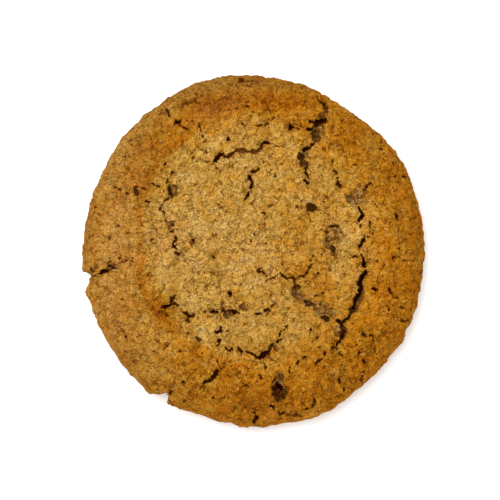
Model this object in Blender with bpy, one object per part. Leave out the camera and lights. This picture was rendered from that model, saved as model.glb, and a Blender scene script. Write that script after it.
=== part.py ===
# One baked cookie: a thick round with a raised rim, a slightly sunken middle and an open, cracked top.
# Its underside is flat at z = 0, its length runs along Y, and the top faces +Z.
# The crust is a sheet of quads drawn over a profile, and the cracks, pits and broken edges are cut from it.

import math
import random

import bmesh
import bpy
from mathutils import Vector, noise

MM = 0.001

# Driving dimensions, in millimetres
COOKIE_WIDTH = 89.4          # across X
COOKIE_LENGTH = 91.8         # along Y
MIDDLE_HEIGHT = 13.3         # crust above the floor, inside the sunken middle
RIM_RISE = 1.5               # how far the rim's crest stands above the middle
WIDEST_HEIGHT = 5.4          # height of the widest line round the side
BASE_FRACTION = 0.935        # flat underside's reach over the widest reach

# Plan outline: a round of this reach with wide, low bulges (angle, height, half width in degrees)
MEAN_REACH = 44.35
BULGES = [(32, 0.7, 12), (72, 0.35, 8), (103, 1.75, 30), (136, 0.6, 11), (190, 0.75, 6), (231, 1.25, 14),
          (270, 1.3, 14), (293, 1.5, 12), (315, 0.5, 10), (331, 0.8, 6), (340, 0.4, 6)]

# Sunken middle: an ellipse inside the rim
MIDDLE_CENTRE = (1.0, 1.7)
MIDDLE_HALF_SIZE = (28.6, 34.0)
RIM_START = 0.93             # fractions of the ellipse between which the crust climbs on to the rim
RIM_END = 1.22

# Shoulder: from this fraction of the reach the crust rolls over towards the side
SHOULDER_START = 0.70
SHOULDER_POWER = 2.5
TOP_FRACTION = 0.90          # the sheet's own edge, where the side's rings begin
TOP_DIVISIONS = 40

# Side rings below the sheet: fraction of the reach and height
SIDE_RINGS = [(0.945, 10.4), (0.975, 8.4), (0.995, 6.7), (1.0, WIDEST_HEIGHT), (0.992, 3.4),
              (0.970, 1.3), (BASE_FRACTION, 0.0)]

# Unevenness of the crust: size of a lump and its height
LUMPS = [(13.0, 0.55), (5.2, 0.42)]
SIDE_LUMP = (7.0, 0.35)
SEED = 7

# Cracks: depth, then the route along the crust as (x, y, width)
CRACKS = {
    "top_arc": (1.6, [(-12.0, 23.0, 0.5), (-8.4, 24.6, 0.8), (-4.4, 26.0, 0.6), (0.9, 25.7, 0.9),
                      (2.4, 27.7, 0.7), (4.6, 27.8, 0.4)]),
    "rim_split_outer": (2.6, [(16.6, 39.9, 0.4), (18.2, 38.4, 0.9), (18.7, 36.0, 1.7), (17.8, 33.7, 2.2),
                              (16.2, 31.8, 2.6), (16.5, 29.0, 1.8), (14.9, 27.0, 0.8)]),
    "rim_split_inner": (2.2, [(14.9, 27.0, 0.6), (13.0, 26.0, 1.1), (12.3, 24.0, 2.0), (13.6, 21.8, 1.2),
                              (13.6, 20.0, 0.7), (14.3, 17.6, 0.5)]),
    "rim_split_arm": (2.4, [(13.7, 33.8, 0.6), (16.2, 33.5, 1.6), (19.4, 34.4, 0.8)]),
    "right_lead": (1.2, [(21.2, 20.6, 0.3), (22.0, 17.8, 0.5), (22.6, 15.9, 0.4)]),
    "right_upper": (2.2, [(27.1, 13.2, 0.5), (28.3, 9.3, 1.0), (27.6, 5.6, 0.6)]),
    "right_middle": (2.2, [(29.2, 4.0, 0.5), (28.8, 1.9, 1.0), (28.0, 0.3, 0.5)]),
    "right_lower": (2.2, [(28.1, -0.7, 0.5), (28.8, -3.0, 0.9), (29.3, -4.9, 0.6)]),
    "right_arc": (2.7, [(29.5, -5.1, 0.5), (28.1, -8.3, 1.1), (28.0, -11.1, 1.3), (26.8, -13.2, 1.6),
                        (25.2, -16.5, 1.3), (22.9, -19.2, 0.9)]),
    "fork": (2.5, [(22.0, -18.0, 0.7), (23.7, -20.6, 1.5), (22.5, -23.1, 1.0), (20.4, -25.2, 0.5)]),
    "fork_tail": (1.2, [(18.6, -25.8, 0.4), (18.1, -27.4, 0.6), (16.0, -29.5, 0.3)]),
    "diagonal_west": (1.2, [(3.2, -7.7, 0.3), (6.8, -5.8, 0.5), (9.0, -7.2, 0.6), (10.8, -6.6, 0.8)]),
    "diagonal": (1.8, [(9.9, -5.6, 0.8), (10.8, -8.6, 1.8), (11.3, -11.5, 2.1), (14.0, -13.4, 2.0),
                       (17.4, -15.2, 2.4), (20.2, -17.0, 1.5), (22.4, -18.6, 0.9)]),
    "diagonal_spur": (0.9, [(11.2, -7.2, 0.5), (14.4, -5.3, 0.4), (15.6, -3.1, 0.4)]),
    "left_upper": (1.6, [(-22.1, 17.0, 0.6), (-21.5, 14.8, 1.0), (-23.6, 11.2, 0.5), (-22.9, 8.4, 0.6),
                         (-20.9, 5.4, 0.7)]),
    "left_lower": (1.2, [(-20.9, 5.4, 0.5), (-19.9, 3.2, 0.6), (-20.3, 0.6, 0.5), (-19.4, -0.8, 0.4)]),
    "left_nick": (1.8, [(-23.7, -14.8, 0.6), (-21.3, -14.1, 1.1), (-20.5, -11.2, 0.5)]),
    "plate_star": (1.2, [(-18.3, -15.7, 0.5), (-16.7, -17.0, 0.8), (-15.4, -16.8, 0.5)]),
    "lower_arc": (1.5, [(-11.2, -15.9, 0.5), (-8.6, -15.4, 0.6), (-3.4, -16.1, 0.8)]),
    "arrow": (1.2, [(-10.2, -21.1, 0.5), (-8.8, -20.2, 0.7), (-6.2, -20.8, 0.4)]),
    "edge_arc": (1.3, [(-4.0, -25.0, 0.5), (-3.0, -26.2, 0.7), (1.6, -27.5, 0.5)]),
    "edge_gap": (2.2, [(1.6, -27.9, 0.7), (3.6, -25.6, 1.5), (4.9, -24.1, 0.8)]),
    "lower_hook": (1.7, [(-13.6, -35.9, 0.4), (-11.6, -33.4, 0.7), (-9.9, -32.2, 1.1), (-9.3, -30.3, 0.6),
                         (-7.5, -29.3, 0.4)]),
    "side_gap": (2.4, [(-42.6, -6.3, 1.4), (-39.4, -5.4, 1.0), (-36.6, -3.3, 0.6)]),
    "star": (1.8, [(-20.7, 34.4, 0.6), (-19.4, 33.4, 1.3), (-16.8, 31.7, 0.4)]),
    "centre_crack": (1.7, [(-1.4, 19.6, 0.5), (-0.3, 17.4, 0.8), (-0.9, 15.6, 0.6), (-2.8, 13.0, 0.4)]),
    "wedge": (1.7, [(10.1, 32.4, 0.6), (9.1, 31.0, 0.9)]),
    "right_corner": (1.4, [(28.2, -21.2, 0.6), (30.4, -22.5, 1.1), (31.7, -25.2, 0.4)]),
    "bottom_crack": (1.4, [(0.0, -41.9, 0.5), (0.8, -43.3, 0.7), (0.2, -45.0, 0.5)]),
}

# Pits and torn patches: x, y, length, width, turn in degrees, depth
PITS = {
    "bottom_pocket": (6.8, -36.0, 6.8, 3.3, -80, 2.7),
    "right_patch": (26.7, 14.0, 3.9, 3.1, 20, 0.8),
    "plate_patch": (20.6, 4.6, 5.0, 4.2, 60, 0.8),
    "arc_pocket": (-7.0, -16.9, 2.3, 1.9, 0, 1.0),
    "small_pit": (-6.1, -11.2, 1.7, 1.0, -60, 1.2),
    "round_pit": (-6.4, 28.9, 1.1, 0.8, 60, 1.1),
    "left_patch": (-30.5, 15.4, 1.9, 1.4, -50, 0.9),
    "chip_bed": (15.1, 11.3, 3.3, 2.7, -10, 1.3),
    "top_rim_pit": (-3.2, 44.3, 1.9, 1.6, 0, 1.1),
}

# Dark chip that sits in its bed: x, y, length, width, turn in degrees, height above the bed's floor
CHIP = (15.1, 11.3, 2.7, 2.1, -10, 0.7)

# Broken edges, cut straight down through the rim: corners in plan
BROKEN_EDGES = {
    "left_break": [(-46.0, -4.2), (-43.5, -5.2), (-41.5, -6.2), (-42.6, -7.6), (-43.4, -9.2), (-46.0, -9.9)],
    "lower_break": [(-29.6, -35.6), (-28.2, -36.2), (-26.6, -37.3), (-24.2, -37.4), (-22.9, -37.0),
                    (-22.3, -38.8), (-21.4, -40.4), (-20.5, -42.4), (-30.0, -42.4)],
    "right_break": [(43.4, -17.2), (41.4, -18.4), (39.6, -19.8), (39.5, -22.4), (43.4, -25.0)],
}

CRUST_COLOUR = (0.48, 0.25, 0.05, 1.0)
CRUST_ROUGHNESS = 0.82


def reach(angle):
    """Distance from the middle to the widest line, in the direction of an angle in radians."""
    total = MEAN_REACH
    for bulge_angle, height, half_width in BULGES:
        apart = (math.degrees(angle) - bulge_angle + 180) % 360 - 180
        total += height * math.exp(-(apart / half_width) ** 2)
    return total


def smooth_step(low, high, value):
    """A rise from 0 to 1 between two limits."""
    share = min(max((value - low) / (high - low), 0.0), 1.0)
    return share * share * (3 - 2 * share)


def lump(x, y, size, height):
    """Uneven rise of the crust, in lumps of one size."""
    return height * noise.noise(Vector((x / size, y / size, SEED)))


def crust_height(x, y):
    """Height of the crust above the floor at a place in plan."""
    fraction = math.hypot(x, y) / reach(math.atan2(y, x))
    ellipse = math.hypot((x - MIDDLE_CENTRE[0]) / MIDDLE_HALF_SIZE[0],
                         (y - MIDDLE_CENTRE[1]) / MIDDLE_HALF_SIZE[1])
    level = MIDDLE_HEIGHT + RIM_RISE * smooth_step(RIM_START, RIM_END, ellipse)
    roll = min(max((fraction - SHOULDER_START) / (1 - SHOULDER_START), 0.0), 1.0) ** SHOULDER_POWER
    level += (WIDEST_HEIGHT - level) * roll
    return level + sum(lump(x, y, size, height) for size, height in LUMPS)


def new_object(name, mesh, collection):
    """An object for a mesh, in a collection."""
    made = bpy.data.objects.new(name, mesh)
    collection.objects.link(made)
    return made


def new_collection(name):
    """An empty collection in the scene."""
    made = bpy.data.collections.new(name)
    bpy.context.scene.collection.children.link(made)
    return made


def mark_as_cutter(cutter):
    """A helper shape shows as wire and is never rendered."""
    cutter.hide_render = True
    cutter.display_type = 'WIRE'


def draw_round(vert):
    """Move a vertex of the square sheet to its place on the round crust."""
    across, along = vert.co.x, vert.co.y
    ring = max(abs(across), abs(along))
    angle = 0.0
    if ring > 0:
        if abs(across) >= abs(along):
            angle = math.pi / 4 * along / across
            angle += math.pi if across < 0 else 0.0
        else:
            angle = math.pi / 2 - math.pi / 4 * across / along
            angle += math.pi if along < 0 else 0.0
    distance = ring * TOP_FRACTION * reach(angle)
    x = distance * math.cos(angle)
    y = distance * math.sin(angle)
    vert.co = Vector((x, y, crust_height(x, y)))


def add_side_ring(body, edges, fraction, height):
    """Extrude the open edge and lay the new ring at a fraction of the reach and a height."""
    made = bmesh.ops.extrude_edge_only(body, edges=edges)["geom"]
    bump_share = math.sin(math.pi * min(height / WIDEST_HEIGHT, 1.0) / 2)
    for vert in (item for item in made if isinstance(item, bmesh.types.BMVert)):
        angle = math.atan2(vert.co.y, vert.co.x)
        outward = Vector((math.cos(angle), math.sin(angle), 0))
        bump = lump(vert.co.x, vert.co.y + height, *SIDE_LUMP) * bump_share
        vert.co = outward * (fraction * reach(angle) + bump)
        vert.co.z = height + bump
    return [item for item in made if isinstance(item, bmesh.types.BMEdge)]


def fit_to_size(body):
    """Centre the outline on the origin and bring it to its exact width and length."""
    for axis, size in ((0, COOKIE_WIDTH), (1, COOKIE_LENGTH)):
        places = [vert.co[axis] for vert in body.verts]
        middle = (min(places) + max(places)) / 2
        scale = size / (max(places) - min(places))
        for vert in body.verts:
            vert.co[axis] = (vert.co[axis] - middle) * scale


def make_cookie(collection):
    """The uncut cookie: the crust's sheet, the side's rings and a flat underside."""
    body = bmesh.new()
    bmesh.ops.create_grid(body, x_segments=TOP_DIVISIONS, y_segments=TOP_DIVISIONS, size=1.0)
    for vert in body.verts:
        draw_round(vert)
    edges = [edge for edge in body.edges if edge.is_boundary]
    for fraction, height in SIDE_RINGS:
        edges = add_side_ring(body, edges, fraction, height)
    bmesh.ops.contextual_create(body, geom=edges)
    bmesh.ops.recalc_face_normals(body, faces=body.faces)
    fit_to_size(body)
    bmesh.ops.scale(body, vec=Vector((MM, MM, MM)), verts=body.verts)
    bmesh.ops.triangulate(body, faces=body.faces)
    mesh = bpy.data.meshes.new("cookie")
    body.to_mesh(mesh)
    body.free()
    return new_object("cookie", mesh, collection)


def mesh_from_curve(curve_object, collection):
    """Turn a curve into a closed mesh object, so that it can cut, and remove the curve."""
    evaluated = curve_object.evaluated_get(bpy.context.evaluated_depsgraph_get())
    mesh = bpy.data.meshes.new_from_object(evaluated)
    shape = bmesh.new()
    shape.from_mesh(mesh)
    bmesh.ops.remove_doubles(shape, verts=shape.verts, dist=0.00001)
    bmesh.ops.recalc_face_normals(shape, faces=shape.faces)
    shape.to_mesh(mesh)
    shape.free()
    made = new_object(curve_object.name + "_cutter", mesh, collection)
    made.matrix_world = curve_object.matrix_world.copy()
    bpy.data.objects.remove(curve_object)
    mark_as_cutter(made)
    return made


def jagged(route, draw):
    """Add a point off the line in each long stretch of a crack, since baked crust never splits straight."""
    longest_straight = 2.4
    kink = 0.17
    points = [route[0]]
    for start, end in zip(route, route[1:]):
        run = Vector((end[0] - start[0], end[1] - start[1]))
        if run.length > longest_straight:
            side = Vector((-run.y, run.x)) * draw.uniform(-kink, kink)
            middle = Vector(start[:2]) + run / 2 + side
            points.append((middle.x, middle.y, (start[2] + end[2]) / 2))
        points.append(end)
    return points


def make_crack(name, depth, route, collection):
    """A tube of diamond section laid along the crust, whose lower half cuts the crack."""
    widest = max(point[2] for point in route)
    stretch = 2 * depth / widest
    curve = bpy.data.curves.new(name, 'CURVE')
    curve.dimensions = '3D'
    curve.bevel_depth = widest / 2 * MM
    curve.bevel_resolution = 0
    curve.use_fill_caps = True
    curve.twist_mode = 'Z_UP'
    spline = curve.splines.new('POLY')
    spline.points.add(len(route) - 1)
    for point, (x, y, width) in zip(spline.points, route):
        point.co = (x * MM, y * MM, crust_height(x, y) * MM / stretch, 1.0)
        point.radius = width / widest
    curve_object = new_object(name, curve, collection)
    curve_object.scale.z = stretch
    bpy.context.view_layer.update()
    return mesh_from_curve(curve_object, collection)


def make_pit(name, x, y, length, width, turn, depth, collection, sink=0.0):
    """A flattened ball half sunk in the crust, as a cutter or as something to fuse on."""
    ball = bmesh.new()
    bmesh.ops.create_icosphere(ball, subdivisions=2, radius=1.0)
    bmesh.ops.scale(ball, vec=Vector((length / 2 * MM, width / 2 * MM, depth * MM)), verts=ball.verts)
    mesh = bpy.data.meshes.new(name)
    ball.to_mesh(mesh)
    ball.free()
    made = new_object(name, mesh, collection)
    made.location = (x * MM, y * MM, (crust_height(x, y) - sink) * MM)
    made.rotation_euler.z = math.radians(turn)
    mark_as_cutter(made)
    return made


def make_break(name, corners, collection):
    """A flat outline extruded through the whole thickness, which cuts a broken edge."""
    curve = bpy.data.curves.new(name, 'CURVE')
    curve.dimensions = '2D'
    curve.fill_mode = 'BOTH'
    curve.extrude = MIDDLE_HEIGHT * MM
    spline = curve.splines.new('POLY')
    spline.points.add(len(corners) - 1)
    for point, (x, y) in zip(spline.points, corners):
        point.co = (x * MM, y * MM, 0.0, 1.0)
    spline.use_cyclic_u = True
    curve_object = new_object(name, curve, collection)
    curve_object.location.z = MIDDLE_HEIGHT / 2 * MM
    bpy.context.view_layer.update()
    return mesh_from_curve(curve_object, collection)


def add_boolean(target, operation, collection):
    """Cut or join every shape of a collection with the target."""
    modifier = target.modifiers.new(collection.name, 'BOOLEAN')
    modifier.operation = operation
    modifier.operand_type = 'COLLECTION'
    modifier.collection = collection
    modifier.solver = 'EXACT'
    modifier.use_self = True


def crust_material():
    """Golden-brown baked dough."""
    material = bpy.data.materials.new("baked_crust")
    material.use_nodes = True
    shader = material.node_tree.nodes["Principled BSDF"]
    shader.inputs["Base Color"].default_value = CRUST_COLOUR
    shader.inputs["Roughness"].default_value = CRUST_ROUGHNESS
    shader.inputs["Metallic"].default_value = 0.0
    return material


def main():
    """Build the cookie and the shapes that cut it."""
    for old in list(bpy.data.objects):
        bpy.data.objects.remove(old)
    parts = new_collection("snickerdoodle")
    cutters = new_collection("cutters")
    fused = new_collection("fused")
    draw = random.Random(SEED)

    cookie = make_cookie(parts)
    cookie.data.materials.append(crust_material())

    for name, (depth, route) in CRACKS.items():
        make_crack(name, depth, jagged(route, draw), cutters)
    for name, pit in PITS.items():
        make_pit(name, *pit, cutters)
    for name, corners in BROKEN_EDGES.items():
        make_break(name, corners, cutters)
    bed_depth = PITS["chip_bed"][-1]
    make_pit("dark_chip", *CHIP, fused, sink=bed_depth)

    add_boolean(cookie, 'DIFFERENCE', cutters)
    add_boolean(cookie, 'UNION', fused)


main()
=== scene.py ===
import math
import random

import bmesh
import bpy
import numpy as np
from mathutils import Matrix, Vector, noise
from mathutils.bvhtree import BVHTree


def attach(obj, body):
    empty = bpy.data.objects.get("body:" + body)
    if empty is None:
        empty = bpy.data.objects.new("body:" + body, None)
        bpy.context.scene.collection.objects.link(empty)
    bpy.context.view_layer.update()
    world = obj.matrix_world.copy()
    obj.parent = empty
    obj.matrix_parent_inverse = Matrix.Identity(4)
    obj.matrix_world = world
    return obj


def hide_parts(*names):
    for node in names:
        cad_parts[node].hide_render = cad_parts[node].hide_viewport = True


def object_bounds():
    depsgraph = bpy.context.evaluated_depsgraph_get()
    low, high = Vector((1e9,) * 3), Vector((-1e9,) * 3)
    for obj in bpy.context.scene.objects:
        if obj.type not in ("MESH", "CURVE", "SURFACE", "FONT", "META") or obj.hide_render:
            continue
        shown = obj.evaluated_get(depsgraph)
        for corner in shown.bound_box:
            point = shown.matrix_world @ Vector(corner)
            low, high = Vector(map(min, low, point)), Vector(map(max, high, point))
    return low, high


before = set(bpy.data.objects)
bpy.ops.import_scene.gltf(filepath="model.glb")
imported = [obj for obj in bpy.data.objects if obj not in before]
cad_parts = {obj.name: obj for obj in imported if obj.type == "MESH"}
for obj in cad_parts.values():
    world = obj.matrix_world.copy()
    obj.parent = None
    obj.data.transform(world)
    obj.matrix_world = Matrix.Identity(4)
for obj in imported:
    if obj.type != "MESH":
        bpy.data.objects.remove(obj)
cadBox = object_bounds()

mm = 0.001
tiny = 1e-9
nearlyOne = 0.9999  # the square block's top and underside lie at 1 and -1
cookieNode = "cookie"

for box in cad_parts.values():
    print("frame node", box.name)


def smoothStep(low, high, values):
    share = np.clip((values - low) / (high - low), 0.0, 1.0)
    return share * share * (3 - 2 * share)


def noiseAt(places, size, shift=0.0):  # a smooth random value per place, -1 to 1; each shift is another noise
    push = Vector((shift * 1.13 + 0.37, shift * 0.71 + 0.61, shift * 1.31 + 0.23))
    return np.array([noise.noise(Vector(place) / size + push) for place in places])


def cellsAt(places, size, shift):  # distances to the two nearest grain centres, the grain's number, its place
    push = Vector((shift, shift * 0.7, shift * 1.3))
    found = []
    for place in places:
        distances, centres = noise.voronoi(Vector(place) / size + push)
        found.append((*distances[:2], noise.cell(centres[0] * 7.3), *((centres[0] - push) * size)))
    return np.array(found).T


def flat(x, y, z):
    return np.column_stack((x, y, np.full_like(x, z)))


def bearing(x, y):
    return np.degrees(np.arctan2(y, x))


def addObject(name, data):
    made = bpy.data.objects.new(name, data)
    bpy.context.scene.collection.objects.link(made)
    return made


cookieForm = {
    "meanReach": 44.35,  # mm from the middle to the side
    # low, wide bulges of the outline: angle, height, half width in degrees
    "bulges": [(32, 0.7, 12), (72, 0.35, 8), (103, 1.75, 30), (136, 0.6, 11), (190, 0.75, 6), (231, 1.25, 14),
               (233.6, 0.5, 2.2), (270, 1.3, 14), (293, 1.5, 12), (315, 0.5, 10), (331, 0.8, 6),
               (340, 0.4, 6), (56, -0.25, 16), (72, -0.20, 3), (105, 0.25, 12), (203, 0.27, 16),
               (228, -0.40, 3), (243, 0.33, 5), (279, -0.33, 7), (310, -0.15, 12), (334.5, 0.35, 3)],
    "waver": (3.2, 0.22),  # small waves of the outline
    "waverFrom": (0.8, 1.0),  # shares of the reach over which they begin
    "middleHeight": 13.3,
    "rimRise": 1.5,
    "middleCentre": (1.0, 1.7),
    "middleHalfSize": (28.6, 34.0),
    "rimSpan": (0.93, 1.22),  # where the crust climbs on to the rim, in ellipses
    "shoulderStart": 0.70,
    "shoulderPower": 2.5,
    "sheetEdge": 0.90,
    # from the crust's edge down to the tray: share of the reach, height
    "side": [(0.90, 11.4), (0.945, 10.4), (0.975, 8.4), (0.995, 6.7), (1.0, 5.4), (0.992, 3.4),
             (0.970, 1.3), (0.935, 0.0)],
    "lumps": [(13.0, 0.55), (5.2, 0.42)],
    "seed": 7,
    "cells": 58,  # across the top before it is refined
    "sideRings": 5,
    "refinements": 2,
    "notchFrom": 0.05,  # mm of cut from which the edge counts as broken
    "notchLeft": 0.06,  # share of the crust past the cut that still stands out
}
widestLine = cookieForm["side"][4][1]

# notches in the rim: angle in degrees and how deep the edge is broken there
rimNotches = {
    "left": [(184.9, 0), (186.3, 0.2), (187.1, 0.6), (187.35, 1.8), (187.9, 2.5), (188.7, 3), (189.1, 2.3),
             (189.5, 1.8), (190.6, 2), (191.5, 1.25), (193, 0)],
    "lower": [(231.5, 0), (233.3, 0.2), (235, 0.9), (237, 1.5), (238, 2.5), (239, 2), (239.5, 1.2),
              (239.9, 0.2), (240.6, 0)],
    "right": [(329.5, 0), (331.2, 0.3), (332.4, 1), (333.5, 1.1), (334.6, 0.7), (336.4, 0.2), (338, 0)],
    "top": [(89.8, 0), (90.8, 0.32), (91.8, 0)],
    "topRight": [(77.2, 0), (78.3, 0.28), (79.4, 0)],
    "upperLeft": [(128, 0), (130, 0.25), (131.6, 0.5), (132.6, 0.3), (134.5, 0.35), (136, 0)],
}


def reachAt(angles):  # degrees to mm
    total = np.full_like(angles, cookieForm["meanReach"])
    for bulgeAngle, height, halfWidth in cookieForm["bulges"]:
        apart = (angles - bulgeAngle + 180) % 360 - 180
        total += height * np.exp(-(apart / halfWidth) ** 2)
    return total


def notchedReach(angles):
    total = reachAt(angles)
    for corners in rimNotches.values():
        total -= np.interp(angles % 360, *zip(*corners), left=0.0, right=0.0)
    return total


def crustHeight(x, y):
    form = cookieForm
    centreX, centreY = form["middleCentre"]
    halfX, halfY = form["middleHalfSize"]
    ellipse = np.hypot((x - centreX) / halfX, (y - centreY) / halfY)
    level = form["middleHeight"] + form["rimRise"] * smoothStep(*form["rimSpan"], ellipse)
    fraction = np.hypot(x, y) / reachAt(bearing(x, y))
    start = form["shoulderStart"]
    roll = np.clip((fraction - start) / (1 - start), 0.0, 1.0) ** form["shoulderPower"]
    level += (widestLine - level) * roll
    for size, height in form["lumps"]:
        level += height * noiseAt(flat(x / size, y / size, form["seed"]), 1.0)
    return level


def alongSide(share):  # a smooth curve through the side's stations: share of the reach and height
    stations = np.array(cookieForm["side"])
    runs = np.hypot(np.diff(stations[:, 0]) * cookieForm["meanReach"], np.diff(stations[:, 1]))
    knots = np.concatenate(([0.0], np.cumsum(runs))) / runs.sum()
    slopes = np.gradient(stations, knots, axis=0)
    index = np.clip(np.searchsorted(knots, share, side="right") - 1, 0, len(knots) - 2)
    gap = (knots[index + 1] - knots[index])[:, None]
    t = ((share - knots[index])[:, None]) / gap
    start, end = stations[index], stations[index + 1]
    return ((2 * t ** 3 - 3 * t ** 2 + 1) * start + (t ** 3 - 2 * t ** 2 + t) * gap * slopes[index]
            + (3 * t ** 2 - 2 * t ** 3) * end + (t ** 3 - t ** 2) * gap * slopes[index + 1]).T


def roundOut(places):  # from the square block to the round cookie, in mm
    form = cookieForm
    across, along, level = places.T
    ring = np.maximum(np.maximum(np.abs(across), np.abs(along)), tiny)
    safeAcross, safeAlong = (np.where(np.abs(run) < tiny, tiny, run) for run in (across, along))
    angles = np.where(np.abs(across) >= np.abs(along), 45 * along / safeAcross + np.where(across < 0, 180, 0),
                      90 - 45 * across / safeAlong + np.where(along < 0, 180, 0))
    top, under = level > nearlyOne, level < -nearlyOne
    sideShare, sideHeight = alongSide(np.clip((1 - level) / 2, 0.0, 1.0))
    fraction = np.where(top, ring * form["sheetEdge"], np.where(under, ring * form["side"][-1][0], sideShare))
    reach = fraction * reachAt(angles)
    x, y = reach * np.cos(np.radians(angles)), reach * np.sin(np.radians(angles))
    size, height = form["waver"]
    waver = height * noiseAt(flat(x, y, 3.0), size) * smoothStep(*form["waverFrom"], fraction)
    waver = 1 + waver / form["meanReach"]
    sheetX, sheetY = (form["sheetEdge"] / np.maximum(fraction, 0.01)) * np.array([x, y])
    heightAbove = crustHeight(np.where(top, x, sheetX), np.where(top, y, sheetY))
    edgeShare, edgeHeight = form["side"][0]
    handover = 1 - smoothStep(edgeShare, form["side"][2][0], np.where(level > 0, fraction, 1.0))
    z = np.where(top, heightAbove, np.where(under, 0.0, sideHeight + (heightAbove - edgeHeight) * handover))
    x, y = x * waver, y * waver
    limit = notchedReach(bearing(x, y))
    distance = np.maximum(np.hypot(x, y), tiny)
    left = np.where(distance > limit, form["notchLeft"], 1.0)
    pulled = np.minimum(distance, limit + (distance - limit) * left)
    pulled = np.where(reachAt(bearing(x, y)) - limit > form["notchFrom"], pulled, distance)
    return np.column_stack((x * pulled / distance, y * pulled / distance, z))


def fitToBox(around):  # centred on the CAD model's box and scaled to it, seen from above
    low, high = (np.array(corner) / mm for corner in cadBox)
    size = around.max(axis=0) - around.min(axis=0)
    middle = (around.max(axis=0) + around.min(axis=0)) / 2
    fitted = (around - middle) * ((high - low) / size) + (high + low) / 2
    return np.column_stack((fitted[:, :2], around[:, 2]))


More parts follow.
